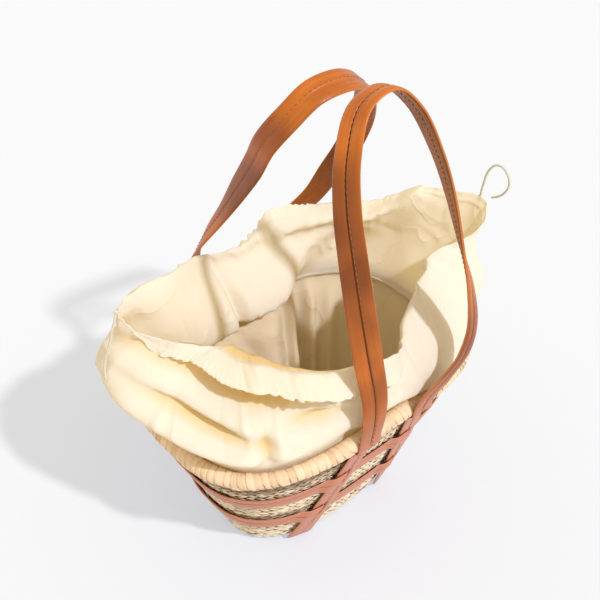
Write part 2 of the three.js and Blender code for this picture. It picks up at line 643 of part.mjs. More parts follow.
/** The cotton lining, against the inside of the basket up to the rim. */
function liningGeometry() {
  const against = -strawWall / 2 - clearance;
  const inside = -(rimRadius + clearance);
  const floor = baseWall + clearance;
  const corner = footRadius;
  const liningTop = rimHeight - collarSeamDrop - 2 * clearance;
  const rows = [
    [floor, against - corner],
    [floor + corner / 2, against - corner / 3],
    ...[0.35, 0.65, 0.88].map((share) => [wallHeight(share), against]),
    [wallTop, (against + inside) / 2],
    [liningTop, inside],
  ];
  const ring = (height, out) => ringOf(basketSteps, (angle, around) => {
    return wallPoint(angle, height, out - liningFold(around, height));
  });
  const outer = rows.map(([height, out]) => ring(height, out));
  const inner = rows.map(([height, out], i) => {
    return ring(i === 0 ? height + liningThickness : height, out - liningThickness);
  });
  const pole = new THREE.Vector3(0, 0, floor);
  const innerPole = new THREE.Vector3(0, 0, floor + liningThickness);
  return solidFromRings([...outer, ...inner.reverse()], pole, innerPole);
}

/** A cord along chosen points. */
function cordGeometry(route) {
  const curve = new THREE.CatmullRomCurve3(route.map(([x, y, z]) => new THREE.Vector3(x, y, z)));
  const section = new THREE.Shape();
  const sides = 8;
  for (let i = 0; i < sides; i += 1) {
    const turn = (i / sides) * Math.PI * 2;
    const [x, y] = [Math.cos(turn) * cordDiameter / 2, Math.sin(turn) * cordDiameter / 2];
    if (i === 0) section.moveTo(x, y);
    else section.lineTo(x, y);
  }
  section.closePath();
  const steps = Math.round(curve.getLength() / (cordDiameter * 2));
  return new THREE.ExtrudeGeometry(section, { steps, extrudePath: curve, bevelEnabled: false });
}

const straw = new THREE.MeshStandardMaterial({ color: 0xdcc490, roughness: 0.85 });
const wound = new THREE.MeshStandardMaterial({ color: 0xe6d3a8, roughness: 0.8 });
const tan = new THREE.MeshStandardMaterial({ color: 0xc87f42, roughness: 0.5 });
const cotton = new THREE.MeshStandardMaterial({ color: 0xf4ecd9, roughness: 0.9 });
const string = new THREE.MeshStandardMaterial({ color: 0xefe6d0, roughness: 0.9 });

/** A named mesh in the group. */
function addPiece(group, name, geometry, material) {
  const mesh = new THREE.Mesh(geometry, material);
  mesh.name = name;
  group.add(mesh);
}

const bag = new THREE.Group();
addPiece(bag, 'basket_body', basketGeometry(), straw);
addPiece(bag, 'rim_roll', rimGeometry(), wound);
addPiece(bag, 'band_upper', bandGeometry(bandHeights[0]), tan);
addPiece(bag, 'band_lower', bandGeometry(bandHeights[1]), tan);
addPiece(bag, 'handle_front', handleGeometry(frontHandle, -1), tan);
addPiece(bag, 'handle_back', handleGeometry(backHandle, 1), tan);
addPiece(bag, 'lining', liningGeometry(), cotton);
addPiece(bag, 'drawstring_collar', collarGeometry(), cotton);
addPiece(bag, 'drawstring_left', cordGeometry(leftCordRoute), string);
addPiece(bag, 'drawstring_right', cordGeometry(rightCordRoute), string);

export default bag;
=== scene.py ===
"""A plaited straw basket bag with leather handles and a cotton drawstring top.

Lengths in the classes are in millimetres, and each mesh is scaled to metres as it is made.
+X runs along the mouth, -Y is the front and +Z is up, as in the solids that the pieces dress.
"""

import logging
import math
from dataclasses import dataclass, replace
from enum import Enum
from functools import cached_property
from typing import NamedTuple

import bpy
import numpy as np
from mathutils import Matrix, Vector


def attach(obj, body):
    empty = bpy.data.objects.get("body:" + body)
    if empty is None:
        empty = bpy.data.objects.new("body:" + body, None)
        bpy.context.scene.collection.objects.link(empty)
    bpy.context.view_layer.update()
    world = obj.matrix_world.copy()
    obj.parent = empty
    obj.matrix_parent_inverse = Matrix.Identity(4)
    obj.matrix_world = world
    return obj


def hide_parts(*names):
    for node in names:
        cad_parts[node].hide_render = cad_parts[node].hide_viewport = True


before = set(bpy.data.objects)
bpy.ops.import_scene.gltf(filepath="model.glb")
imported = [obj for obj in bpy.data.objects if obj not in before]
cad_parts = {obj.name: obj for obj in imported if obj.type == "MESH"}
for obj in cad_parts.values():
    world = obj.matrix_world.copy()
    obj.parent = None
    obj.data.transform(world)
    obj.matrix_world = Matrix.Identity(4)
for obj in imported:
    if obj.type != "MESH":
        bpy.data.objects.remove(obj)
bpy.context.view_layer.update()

MM = 0.001
Array = np.ndarray
log = logging.getLogger("straw_bag")


class Slot(Enum):
    """The record's material slots."""

    STRAW = "straw"
    LEATHER = "leather"
    COTTON = "cotton"
    CORD = "cord"


def smooth_share(value: Array, low: float, high: float) -> Array:
    """Rise smoothly from 0 at low to 1 at high.

    Args:
        value: the values to place between low and high.
        low: where the rise starts.
        high: where it ends.

    Returns:
        The share of the rise at each value.
    """
    t = np.clip((np.asarray(value, float) - low) / (high - low), 0.0, 1.0)
    return t * t * (3.0 - 2.0 * t)


def fade(distance: Array, reach: float) -> Array:
    """Return how much of a bump at 0 is left at each distance, for a given reach."""
    return np.exp(-((np.asarray(distance, float) / reach) ** 2))


def apart(a: Array, b: float) -> Array:
    """Return the shorter way round the mouth between two shares of it."""
    way = np.abs(np.asarray(a, float) - b) % 1.0
    return np.minimum(way, 1.0 - way)


def unit(vectors: Array) -> Array:
    """Return vectors scaled to a length of 1."""
    return vectors / np.linalg.norm(vectors, axis=-1, keepdims=True)


def run_along(line: Array) -> Array:
    """Return how far along a line each of its points is."""
    return np.concatenate([[0.0], np.cumsum(np.linalg.norm(np.diff(line, axis=0), axis=1))])


def stacked(*parts: Array | float) -> Array:
    """Return coordinates put together from one array for each direction."""
    return np.stack(np.broadcast_arrays(*parts), axis=-1)


def wander(around: Array, waves: tuple[int, ...], seed: int) -> Array:
    """Make a smooth random line round the mouth that meets itself.

    Args:
        around: shares of the mouth to sample.
        waves: how many waves each part of the line has round the mouth.
        seed: the seed of the waves' phases and strengths.

    Returns:
        Values of about -1 to 1.
    """
    rng = np.random.default_rng(seed)
    total = np.zeros_like(np.asarray(around, float))
    for count in waves:
        phase = rng.uniform(0.0, 2.0 * math.pi)
        strength = rng.uniform(0.5, 1.0)
        total = total + strength * np.sin(2.0 * math.pi * count * around + phase)
    return total / math.sqrt(len(waves))


def hermite(t: Array, start: Array, leaving: Array, end: Array, arriving: Array) -> Array:
    """Run smoothly from one value to another with a given slope at both.

    Args:
        t: how far along, from 0 to 1.
        start: the value at 0.
        leaving: the slope there.
        end: the value at 1.
        arriving: the slope there.

    Returns:
        The values between.
    """
    return (
        (2 * t**3 - 3 * t**2 + 1) * start
        + (t**3 - 2 * t**2 + t) * leaving
        + (3 * t**2 - 2 * t**3) * end
        + (t**3 - t**2) * arriving
    )


def catmull_rom(knots: Array, params: Array) -> Array:
    """Sample centripetal Catmull-Rom curves, one or many at once.

    Args:
        knots: (knots, ..., dims), the points that each curve passes through.
        params: places along the curves, from 0 to the number of knots less one.

    Returns:
        (params, ..., dims), the sampled points.
    """
    before = 2.0 * knots[0] - knots[1]
    after = 2.0 * knots[-1] - knots[-2]
    padded = np.concatenate([before[None], knots, after[None]])
    gaps = np.sqrt(np.linalg.norm(np.diff(padded, axis=0), axis=-1, keepdims=True))
    gaps = np.maximum(gaps, 1e-3)
    samples = []
    for param in params:
        i = min(int(param), len(knots) - 2)
        t = param - i
        p0, p1, p2, p3 = padded[i], padded[i + 1], padded[i + 2], padded[i + 3]
        g0, g1, g2 = gaps[i], gaps[i + 1], gaps[i + 2]
        m1 = ((p1 - p0) / g0 - (p2 - p0) / (g0 + g1) + (p2 - p1) / g1) * g1
        m2 = ((p2 - p1) / g1 - (p3 - p1) / (g1 + g2) + (p3 - p2) / g2) * g1
        samples.append(hermite(t, p1, m1, p2, m2))
    return np.array(samples)


def grid_faces(rows: int, columns: int, round_rows: bool, round_columns: bool) -> Array:
    """Number the four-sided faces of a grid of points.

    Args:
        rows: rows of points.
        columns: columns of points.
        round_rows: whether the last row joins the first.
        round_columns: whether the last column joins the first.

    Returns:
        (faces, 4) indices into the grid's points, row by row.
    """
    r = np.arange(rows if round_rows else rows - 1)
    c = np.arange(columns if round_columns else columns - 1)
    rr, cc = np.meshgrid(r, c, indexing="ij")
    r2, c2 = (rr + 1) % rows, (cc + 1) % columns
    corners = [rr * columns + cc, rr * columns + c2, r2 * columns + c2, r2 * columns + cc]
    return np.stack([corner.ravel() for corner in corners], axis=1)


def leaf_faces(rows: int, columns: int) -> Array:
    """Number the faces of a closed leaf: a grid four points wide, and a plain underside.

    Args:
        rows: rows of points.
        columns: points in a row, which is 4.

    Returns:
        (faces, 4) indices into the grid's points.
    """
    top = grid_faces(rows, columns, False, False)
    left = np.arange(rows - 1) * columns
    right = left + columns - 1
    under = np.stack([left + columns, right + columns, right, left], axis=1)
    return np.concatenate([top, under, end_caps(rows, columns)])


def end_caps(rows: int, sides: int) -> list[list[int]]:
    """Return the two faces that close a tube with so many rows of points and sides."""
    last = (rows - 1) * sides
    return [list(range(sides))[::-1], list(range(last, last + sides))]


class MeshData(NamedTuple):
    """A mesh before it becomes an object: its points in mm, faces and per-point values."""

    points: Array
    faces: Array
    grain: Array
    tone: Array


def mesh_data(points: Array, faces: Array, grain: Array, tone: Array) -> MeshData:
    """Turn a mesh's faces outwards and keep its values flat.

    Args:
        points: (..., 3) points in mm.
        faces: (faces, 4) or (faces, 3) indices.
        grain: (..., 2) place along and across the grain, in mm.
        tone: (...) a value from 0 to 1 that the finish reads.

    Returns:
        The mesh, its faces turned outwards.
    """
    flat = points.reshape(-1, 3)
    a, b, c = (flat[faces[:, i]] for i in range(3))
    volume = np.einsum("ij,ij->i", a, np.cross(b, c)).sum()
    if faces.shape[1] == 4:
        d = flat[faces[:, 3]]
        volume += np.einsum("ij,ij->i", a, np.cross(c, d)).sum()
    turned = faces[:, ::-1] if volume < 0 else faces
    return MeshData(flat, turned, grain.reshape(-1, 2), tone.reshape(-1))


def joined(parts: list[MeshData]) -> MeshData:
    """Join meshes of four-sided faces into one."""
    starts = np.cumsum([0] + [len(part.points) for part in parts[:-1]])
    return MeshData(
        np.concatenate([part.points for part in parts]),
        np.concatenate([part.faces + start for part, start in zip(parts, starts)]),
        np.concatenate([part.grain for part in parts]),
        np.concatenate([part.tone for part in parts]),
    )


def make_object(
    name: str, data: MeshData, extra: list[list[int]] | None = None
) -> bpy.types.Object:
    """Make a smooth-shaded object from a mesh.

    Args:
        name: the piece's name.
        data: its mesh, in mm.
        extra: more faces, such as the end caps of a tube.

    Returns:
        The object, linked to the scene, in metres.
    """
    mesh = bpy.data.meshes.new(name)
    mesh.from_pydata((data.points * MM).tolist(), [], data.faces.tolist() + (extra or []))
    mesh.polygons.foreach_set("use_smooth", [True] * len(mesh.polygons))
    tone = mesh.attributes.new("tone", "FLOAT", "POINT")
    tone.data.foreach_set("value", data.tone.astype(np.float32))
    corners = np.zeros(len(mesh.loops), np.int32)
    mesh.loops.foreach_get("vertex_index", corners)
    layer = mesh.uv_layers.new(name="grain")
    layer.data.foreach_set("uv", (data.grain[corners] * MM).astype(np.float32).ravel())
    mesh.update()
    made = bpy.data.objects.new(name, mesh)
    bpy.context.scene.collection.objects.link(made)
    return made


def settle(
    piece: bpy.types.Object, slot: Slot, material: bpy.types.Material, *nodes: str
) -> None:
    """Finish a piece and put it in place of the solids that it dresses.

    Args:
        piece: the finished mesh.
        slot: not used.
        material: its material.
        nodes: the names of the solids that it stands for.
    """
    piece.data.materials.clear()
    piece.data.materials.append(material)
    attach(piece, "root")
    if nodes:
        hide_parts(*nodes)
    log.info("%s: %d faces", piece.name, len(piece.data.polygons))


def around_normals(points: Array, round_columns: bool = True) -> Array:
    """Work out the normals of a grid of points from its neighbours.

    Args:
        points: (rows, columns, 3).
        round_columns: whether the columns go all the way round.

    Returns:
        (rows, columns, 3) unit normals.
    """
    if round_columns:
        sideways = np.roll(points, -1, axis=1) - np.roll(points, 1, axis=1)
    else:
        sideways = np.gradient(points, axis=1)
    upwards = np.gradient(points, axis=0)
    normal = np.cross(sideways, upwards)
    return normal / np.maximum(np.linalg.norm(normal, axis=-1, keepdims=True), 1e-9)


def tube_rings(line: Array, up: Array, radius: Array, turn: Array) -> Array:
    """Put a ring of points round each point of a line.

    Args:
        line: (points, 3) the tube's middle.
        up: a direction that sets where the rings start, one for all or one for each.
        radius: (points, sides) or (points, 1) the tube's radius.
        turn: the angle of each side.

    Returns:
        (points, sides, 3) points.
    """
    tangent = unit(np.gradient(line, axis=0))
    aside = unit(np.cross(tangent, up))[:, None]
    above = np.cross(aside, tangent[:, None])
    spread = np.cos(turn)[None, :, None] * aside + np.sin(turn)[None, :, None] * above
    return line[:, None] + spread * radius[..., None]


Colour = tuple[float, float, float]
Socket = bpy.types.NodeSocket


def srgb(red: int, green: int, blue: int) -> Colour:
    """Return a colour given in the usual 0 to 255 steps as linear light."""
    shares = [channel / 255.0 for channel in (red, green, blue)]
    linear = [s / 12.92 if s <= 0.04045 else ((s + 0.055) / 1.055) ** 2.4 for s in shares]
    return (linear[0], linear[1], linear[2])


def darker(colour: Colour, share: float) -> Colour:
    """Return a share of a colour's light."""
    return (colour[0] * share, colour[1] * share, colour[2] * share)


class NodePaint:
    """A small helper that wires a material's nodes."""

    def __init__(self, name: str) -> None:
        """Start a material with nothing but its output."""
        self.material = bpy.data.materials.new(name)
        self.material.use_nodes = True
        self.tree = self.material.node_tree
        self.tree.nodes.clear()
        self.output = self.tree.nodes.new("ShaderNodeOutputMaterial")

    def add(
        self, kind: str, settings: dict[str, str] | None = None, **sockets: object
    ) -> bpy.types.Node:
        """Add a node and fill its sockets.

        Args:
            kind: the node's type without its ShaderNode prefix.
            settings: properties of the node itself.
            sockets: input names, with _ for spaces, or _ and a number, and for each one a
                socket to link, a value or a colour.

        Returns:
            The node.
        """
        node = self.tree.nodes.new("ShaderNode" + kind)
        for key, value in (settings or {}).items():
            setattr(node, key, value)
        for key, value in sockets.items():
            number = key[1:]
            socket = node.inputs[int(number) if number.isdigit() else key.replace("_", " ")]
            if isinstance(value, Socket):
                self.tree.links.new(value, socket)
            elif socket.type == "RGBA":
                socket.default_value = (*value, 1.0)
            else:
                socket.default_value = value
        return node

    def tone(self) -> Socket:
        """Return the mesh's own tone value."""
        return self.add("Attribute", {"attribute_name": "tone"}).outputs["Fac"]

    def grain(self, along: float, across: float) -> Socket:
        """Return coordinates along and across the grain, with so many features per metre."""
        place = self.add("UVMap", {"uv_map": "grain"}).outputs["UV"]
        return self.add("Mapping", Vector=place, Scale=(along, across, 1.0)).outputs["Vector"]

    def place(self) -> Socket:
        """Return coordinates in the object's own frame, in metres."""
        return self.add("TexCoord").outputs["Object"]

    def noise(
        self, vector: Socket, scale: float, detail: float = 3.0, roughness: float = 0.55
    ) -> Socket:
        """Return a noise value from 0 to 1.

        Args:
            vector: where to read it.
            scale: features per unit of the vector.
            detail: how many finer layers it has.
            roughness: how strong they are.

        Returns:
            A value socket.
        """
        node = self.add("TexNoise", Vector=vector, Scale=scale, Detail=detail, Roughness=roughness)
        return node.outputs["Fac"]

    def threads(
        self, direction: str, pitch_mm: float, scale: float, wobble: float, detail: float = 2.0
    ) -> Socket:
        """Return stripes that lie side by side like threads.

        Args:
            direction: which way they are counted, X along the grain and Y across it.
            pitch_mm: the length of cloth or cord that the scale counts by.
            scale: how close together they are.
            wobble: how uneven they are.
            detail: how many finer layers the wobble has.

        Returns:
            A value socket.
        """
        node = self.add(
            "TexWave",
            {"bands_direction": direction},
            Vector=self.grain(1000.0 / pitch_mm, 1000.0 / pitch_mm),
            Scale=scale,
            Distortion=wobble,
            Detail=detail,
        )
        return node.outputs["Fac"]

    def ramp(self, value: Socket, stops: list[tuple[float, Colour]]) -> Socket:
        """Map a value to colours, given as positions and colours in order."""
        node = self.add("ValToRGB", Fac=value)
        elements = node.color_ramp.elements
        while len(elements) < len(stops):
            elements.new(0.5)
        for element, (position, colour) in zip(elements, stops):
            element.position = position
            element.color = (*colour, 1.0)
        return node.outputs["Color"]

    def share(self, value: Socket, low: float, high: float) -> Socket:
        """Return how far a value has risen from low to high, as a grey."""
        return self.ramp(value, [(low, (0.0, 0.0, 0.0)), (high, (1.0, 1.0, 1.0))])

    def math(self, operation: str, a: Socket, b: Socket | float, c: float = 0.0) -> Socket:
        """Return the result of a sum on two values, or on three where it takes them."""
        return self.add("Math", {"operation": operation}, _0=a, _1=b, _2=c).outputs[0]

    def spread(self, value: Socket, reach: float, middle: float = 0.0) -> Socket:
        """Return a value from 0 to 1 as one that runs over a reach round a middle."""
        return self.math("MULTIPLY_ADD", value, reach, middle - reach / 2.0)

    def mix(self, factor: Socket, a: Socket | Colour, b: Socket | Colour) -> Socket:
        """Return a mix of two colours."""
        return self.add("Mix", {"data_type": "RGBA"}, _0=factor, _6=a, _7=b).outputs[2]

    def bump(self, height: Socket, metres: float, strength: float, **under: Socket) -> Socket:
        """Return a normal that is roughened by a height.

        Args:
            height: the height value.
            metres: what a height of 1 stands for.
            strength: how much of it counts.
            under: Normal, where another relief lies under this one.

        Returns:
            A normal socket.
        """
        node = self.add("Bump", Height=height, Distance=metres, Strength=strength, **under)
        return node.outputs["Normal"]

    def surface(self, **sockets: object) -> Socket:
        """Return the usual shader of a solid surface with its sockets filled."""
        return self.add("BsdfPrincipled", **sockets).outputs[0]

    def finish(self, shader: Socket) -> bpy.types.Material:
        """Wire a shader to the output and return the material."""
        self.tree.links.new(shader, self.output.inputs["Surface"])
        return self.material


@dataclass(frozen=True)
class StrawFinish:
    """Dried palm straw, with fibres along each strip."""

    name: str
    pale: Colour
    middle: Colour
    deep: Colour
    fibres_per_m: tuple[float, float] = (60.0, 2600.0)
    fibre_depth: float = 0.00025
    fibre_contrast: float = 0.38
    blotches_per_m: float = 160.0
    blotch_contrast: float = 0.3
    roughness: float = 0.62
    shine: float = 0.45

    def build(self) -> bpy.types.Material:
        """Make the material, its colour led by the strips' own tone."""
        paint = NodePaint(self.name)
        fibres = paint.noise(paint.grain(*self.fibres_per_m), 1.0, 4.0, 0.7)
        blotches = paint.noise(paint.place(), self.blotches_per_m)
        tone = paint.math("ADD", paint.spread(fibres, self.fibre_contrast), paint.tone())
        tone = paint.math("ADD", tone, paint.spread(blotches, self.blotch_contrast))
        shader = paint.surface(
            Base_Color=paint.ramp(tone, [(0.0, self.deep), (0.38, self.middle), (0.85, self.pale)]),
            Roughness=self.roughness,
            Specular_IOR_Level=self.shine,
            Normal=paint.bump(fibres, self.fibre_depth, 0.9),
        )
        return paint.finish(shader)


@dataclass(frozen=True)
class LeatherFinish:
    """Smooth tan leather with a fine grain, with a pale painted sheen where it lies on the basket.
    """

    name: str
    grain_side: Colour
    worn: Colour
    # pale is the colour of the painted sheen low down on the straps and bands
    pale: Colour
    # back is the darker colour of the seam line and of the painted shade on the plain face, which
    # is the same leather
    back: Colour
    # edge is the lighter colour of the painted highlight on the rounded edges
    edge: Colour
    pores_per_m: float = 900.0
    creases_per_m: float = 420.0
    clouds_per_m: float = 26.0
    strokes_per_m: tuple[float, float] = (12.0, 260.0)
    patches_per_m: float = 7.0
    patch_light: float = 0.55
    relief: float = 0.00012
    roughness: float = 0.36
    uneven_roughness: float = 0.22
    shine: float = 0.35
    sheen_full_below: float = 0.17
    sheen_gone_above: float = 0.25

    def build(self) -> bpy.types.Material:
        """Make the material. A tone of 1 is a strip's rounded edge, lighter as a painted highlight,
        0.5 the grain side and 0 the darker back colour, which marks the seam line and paints shade
        on the plain face.
        """
        paint = NodePaint(self.name)
        place, tone = paint.place(), paint.tone()
        pores = paint.add("TexVoronoi", Vector=place, Scale=self.pores_per_m).outputs["Distance"]
        creases = paint.noise(place, self.creases_per_m, 4.0, 0.6)
        clouds = paint.noise(place, self.clouds_per_m)
        strokes = paint.noise(paint.grain(*self.strokes_per_m), 1.0)
        wear = paint.share(paint.math("MULTIPLY", clouds, strokes), 0.14, 0.42)
        patches = paint.share(paint.noise(place, self.patches_per_m, 2.0), 0.38, 0.6)
        # Painted sheen: the leather is pale below the first height and its own tan above the
        # second.
        high = paint.add(
            "MapRange",
            {"interpolation_type": "SMOOTHSTEP"},
            Value=paint.add("SeparateXYZ", Vector=place).outputs["Z"],
            From_Min=self.sheen_full_below,
            From_Max=self.sheen_gone_above,
        )
        front = paint.mix(wear, self.grain_side, self.worn)
        front = paint.mix(patches, darker(self.worn, self.patch_light), front)
        # Painted highlight: the rounded edges take the lighter edge colour.
        front = paint.mix(paint.share(tone, 0.7, 0.98), front, self.edge)
        front = paint.mix(high.outputs["Result"], self.pale, front)
        # Painted shade: tones under 0.42 mix in the darker back colour, on the plain face and along
        # the seam line.
        shader = paint.surface(
            Base_Color=paint.mix(paint.share(tone, 0.2, 0.42), self.back, front),
            Roughness=paint.spread(creases, self.uneven_roughness, self.roughness),
            Specular_IOR_Level=self.shine,
            Normal=paint.bump(paint.math("ADD", pores, creases), self.relief, 0.6),
        )
        return paint.finish(shader)


@dataclass(frozen=True)
class CottonFinish:
    """Thin unbleached cotton that lets some light through, with painted shade in its deep folds."""

    name: str
    colour: Colour
    shade: Colour
    through: Colour
    # the painted shade colour of the deep folds
    painted_fold_shade: Colour
    thread_mm: float = 0.7
    waves_per_thread: float = 0.314
    thread_depth: float = 0.00012
    slubs_per_m: tuple[float, float] = (70.0, 900.0)
    crumples_per_m: float = 55.0
    crumple_depth: float = 0.0012
    creases_per_m: float = 13.0
    crease_depth: float = 0.0016
    crease_slope: tuple[tuple[float, float], ...] = (
        (0.0, 1.0), (0.015, 0.6), (0.06, 0.16), (0.2, 0.0),
    )
    thinness: float = 0.38

    def relief(self, paint: NodePaint, crumple: Socket) -> Socket:
        """Return the normal of the cloth: creases, then crumples, then threads.

        Args:
            paint: the material being made.
            crumple: the height of the crumples.

        Returns:
            A normal socket.
        """
        weave = paint.math("MAXIMUM", *(
            paint.threads(direction, self.thread_mm, self.waves_per_thread, 0.8, 1.0)
            for direction in "XY"
        ))
        swell = paint.noise(paint.place(), self.creases_per_m, 2.0, 0.45)
        ridge = paint.math("ABSOLUTE", paint.math("SUBTRACT", swell, 0.5), 0.0)
        creases = paint.ramp(ridge, [(place, (level,) * 3) for place, level in self.crease_slope])
        normal = paint.bump(creases, self.crease_depth, 0.6)
        normal = paint.bump(crumple, self.crumple_depth, 0.5, Normal=normal)
        return paint.bump(weave, self.thread_depth, 0.5, Normal=normal)

    def build(self) -> bpy.types.Material:
        """Make the material, woven along the cloth's own grain."""
        paint = NodePaint(self.name)
        slubs = paint.noise(paint.grain(*self.slubs_per_m), 1.0)
        crumple = paint.noise(paint.place(), self.crumples_per_m, 4.0, 0.5)
        flecks = paint.share(paint.math("MULTIPLY", slubs, crumple), 0.1, 0.4)
        colour = paint.mix(flecks, self.shade, self.colour)
        # Painted shade: a tone over 0.62 marks a deep fold and takes the fold shade colour.
        colour = paint.mix(paint.share(paint.tone(), 0.62, 0.95), colour, self.painted_fold_shade)
        normal = self.relief(paint, crumple)
        front = paint.surface(
            Base_Color=colour, Roughness=0.85, Specular_IOR_Level=0.2, Normal=normal
        )
        glow = paint.add("BsdfTranslucent", Color=self.through, Normal=normal)
        both = paint.add("MixShader", Fac=self.thinness, _1=front, _2=glow.outputs[0])
        return paint.finish(both.outputs[0])


@dataclass(frozen=True)
class ThreadFinish:
    """Twisted thread or cord."""

    name: str
    colour: Colour
    shade: Colour
    twist_mm: float = 2.0
    fluff_per_m: float = 900.0
    strand_depth: float = 0.0002

    def build(self) -> bpy.types.Material:
        """Make the material, with strands slanted across the thread."""
        paint = NodePaint(self.name)
        strands = paint.threads("DIAGONAL", self.twist_mm, 0.6, 1.5)
        fluff = paint.noise(paint.place(), self.fluff_per_m, 2.0)
        shader = paint.surface(
            Base_Color=paint.mix(paint.math("MULTIPLY", strands, fluff), self.shade, self.colour),
            Roughness=0.8,
            Normal=paint.bump(strands, self.strand_depth, 0.7),
        )
        return paint.finish(shader)


@dataclass(frozen=True)
class FloorFinish:
    """A white studio floor, lit a little from below so that shadows on it stay pale."""

    name: str = "studio_white"
    colour: Colour = (0.457, 0.42, 0.345)
    glow: Colour = (0.34, 0.4, 0.512)

    def build(self) -> bpy.types.Material:
        """Make the material, with the faintest unevenness."""
        paint = NodePaint(self.name)
        cloud = paint.noise(paint.place(), 2.0, 2.0)
        shader = paint.surface(
            Base_Color=paint.mix(cloud, self.colour, darker(self.colour, 0.985)),
            Roughness=0.8,
            Specular_IOR_Level=0.1,
            Emission_Color=self.glow,
            Emission_Strength=1.0,
        )
        return paint.finish(shader)


@dataclass(frozen=True)
class BasketForm:
    """The basket's shape, shared by everything that lies on it."""

    mouth_length: float = 328.0
    mouth_width: float = 236.0
    mouth_squareness: float = 2.9
    base_length: float = 204.0
    base_width: float = 114.0
    base_squareness: float = 2.35
    rim_height: float = 190.0
    end_dip: float = 12.0
    straw_wall: float = 3.0
    foot_radius: float = 8.0
    rim_radius: float = 8.0
    base_wall: float = 3.0
    clearance: float = 0.3

    @property
    def flat_base(self) -> float:
        """Half the width of the base's flat part."""
        return self.base_width / 2.0 - self.foot_radius

    def outline(self, height: Array) -> tuple[Array, Array, Array, Array]:
        """Return the share of the rise, half length, half width and squareness at heights."""
        share = np.maximum(np.asarray(height, float) / self.rim_height, 0.0)
        length = self.base_length + (self.mouth_length - self.base_length) * share
        width = self.base_width + (self.mouth_width - self.base_width) * share
        square = self.base_squareness + (self.mouth_squareness - self.base_squareness) * share
        return share, length / 2.0, width / 2.0, square

    @cached_property
    def turns(self) -> tuple[Array, Array]:
        """Angles round the mouth and the share of the way round that each one is at."""
        angles = np.linspace(0.0, 2.0 * math.pi, 5761)
        _, length, width, square = self.outline(self.rim_height)
        xy = self.oval(length, width, square, angles)
        gone = run_along(xy)
        return angles, gone / gone[-1]

    @staticmethod
    def oval(length: Array, width: Array, square: Array, angle: Array) -> Array:
        """Return (..., 2) points of a rounded outline at angles."""
        c, s = np.cos(angle), np.sin(angle)
        x = length * np.sign(c) * np.abs(c) ** (2.0 / square)
        y = width * np.sign(s) * np.abs(s) ** (2.0 / square)
        return stacked(x, y)

    def angle_at(self, around: Array) -> Array:
        """Return the angles at shares of the way round the mouth."""
        angles, shares = self.turns
        around = np.asarray(around, float)
        whole = np.floor(around)
        return np.interp(around - whole, shares, angles) + whole * 2.0 * math.pi

    def wall(self, angle: Array, height: Array, out: Array) -> Array:
        """Return points of the straw wall.

        Args:
            angle: where they are round the basket.
            height: and how high, at the middle of the front.
            out: how far outside the middle of the wall.

        Returns:
            (..., 3) points.
        """
        share, length, width, square = self.outline(height)
        xy = self.oval(length, width, square, angle)
        x, y = xy[..., 0], xy[..., 1]
        nx = np.sign(x) * np.abs(x / length) ** (square - 1.0) / length
        ny = np.sign(y) * np.abs(y / width) ** (square - 1.0) / width
        size = np.hypot(nx, ny)
        z = height - self.end_dip * share * (x / length) ** 2
        return stacked(x + nx / size * out, y + ny / size * out, z)

    def angle_at_x(self, x: Array, height: Array, side: float) -> Array:
        """Return the angles where the wall has a given x, on the back (1) or the front (-1)."""
        _, length, _, square = self.outline(height)
        c = np.sign(x) * np.abs(np.asarray(x, float) / length) ** (square / 2.0)
        return side * np.arccos(c)

    def girth(self, height: float) -> float:
        """Return the way round the basket at a height."""
        _, length, width, square = self.outline(height)
        xy = self.oval(length, width, square, self.turns[0])
        return float(run_along(xy)[-1])

    def skin(self, around: Array, rise: Array, out: Array) -> Array:
        """Return points on the outside of the straw, from under the base to the rim.

        Args:
            around: share of the way round.
            rise: distance along the outside, 0 where the base's flat part ends.
            out: how far outside the straw's surface.

        Returns:
            (..., 3) points.
        """
        angle = self.angle_at(around)
        radius = self.foot_radius
        turn = np.clip(rise / radius, 0.0, math.pi / 2.0)
        above = np.maximum(rise - radius * math.pi / 2.0, 0.0)
        reach = radius + out
        height = radius - reach * np.cos(turn) + above
        side = self.straw_wall / 2.0 - radius + reach * np.sin(turn)
        point = self.wall(angle, np.maximum(height, 0.0), side)
        shrink = np.maximum(1.0 + np.minimum(rise, 0.0) / self.flat_base, 0.0)
        point[..., :2] *= shrink[..., None]
        return point


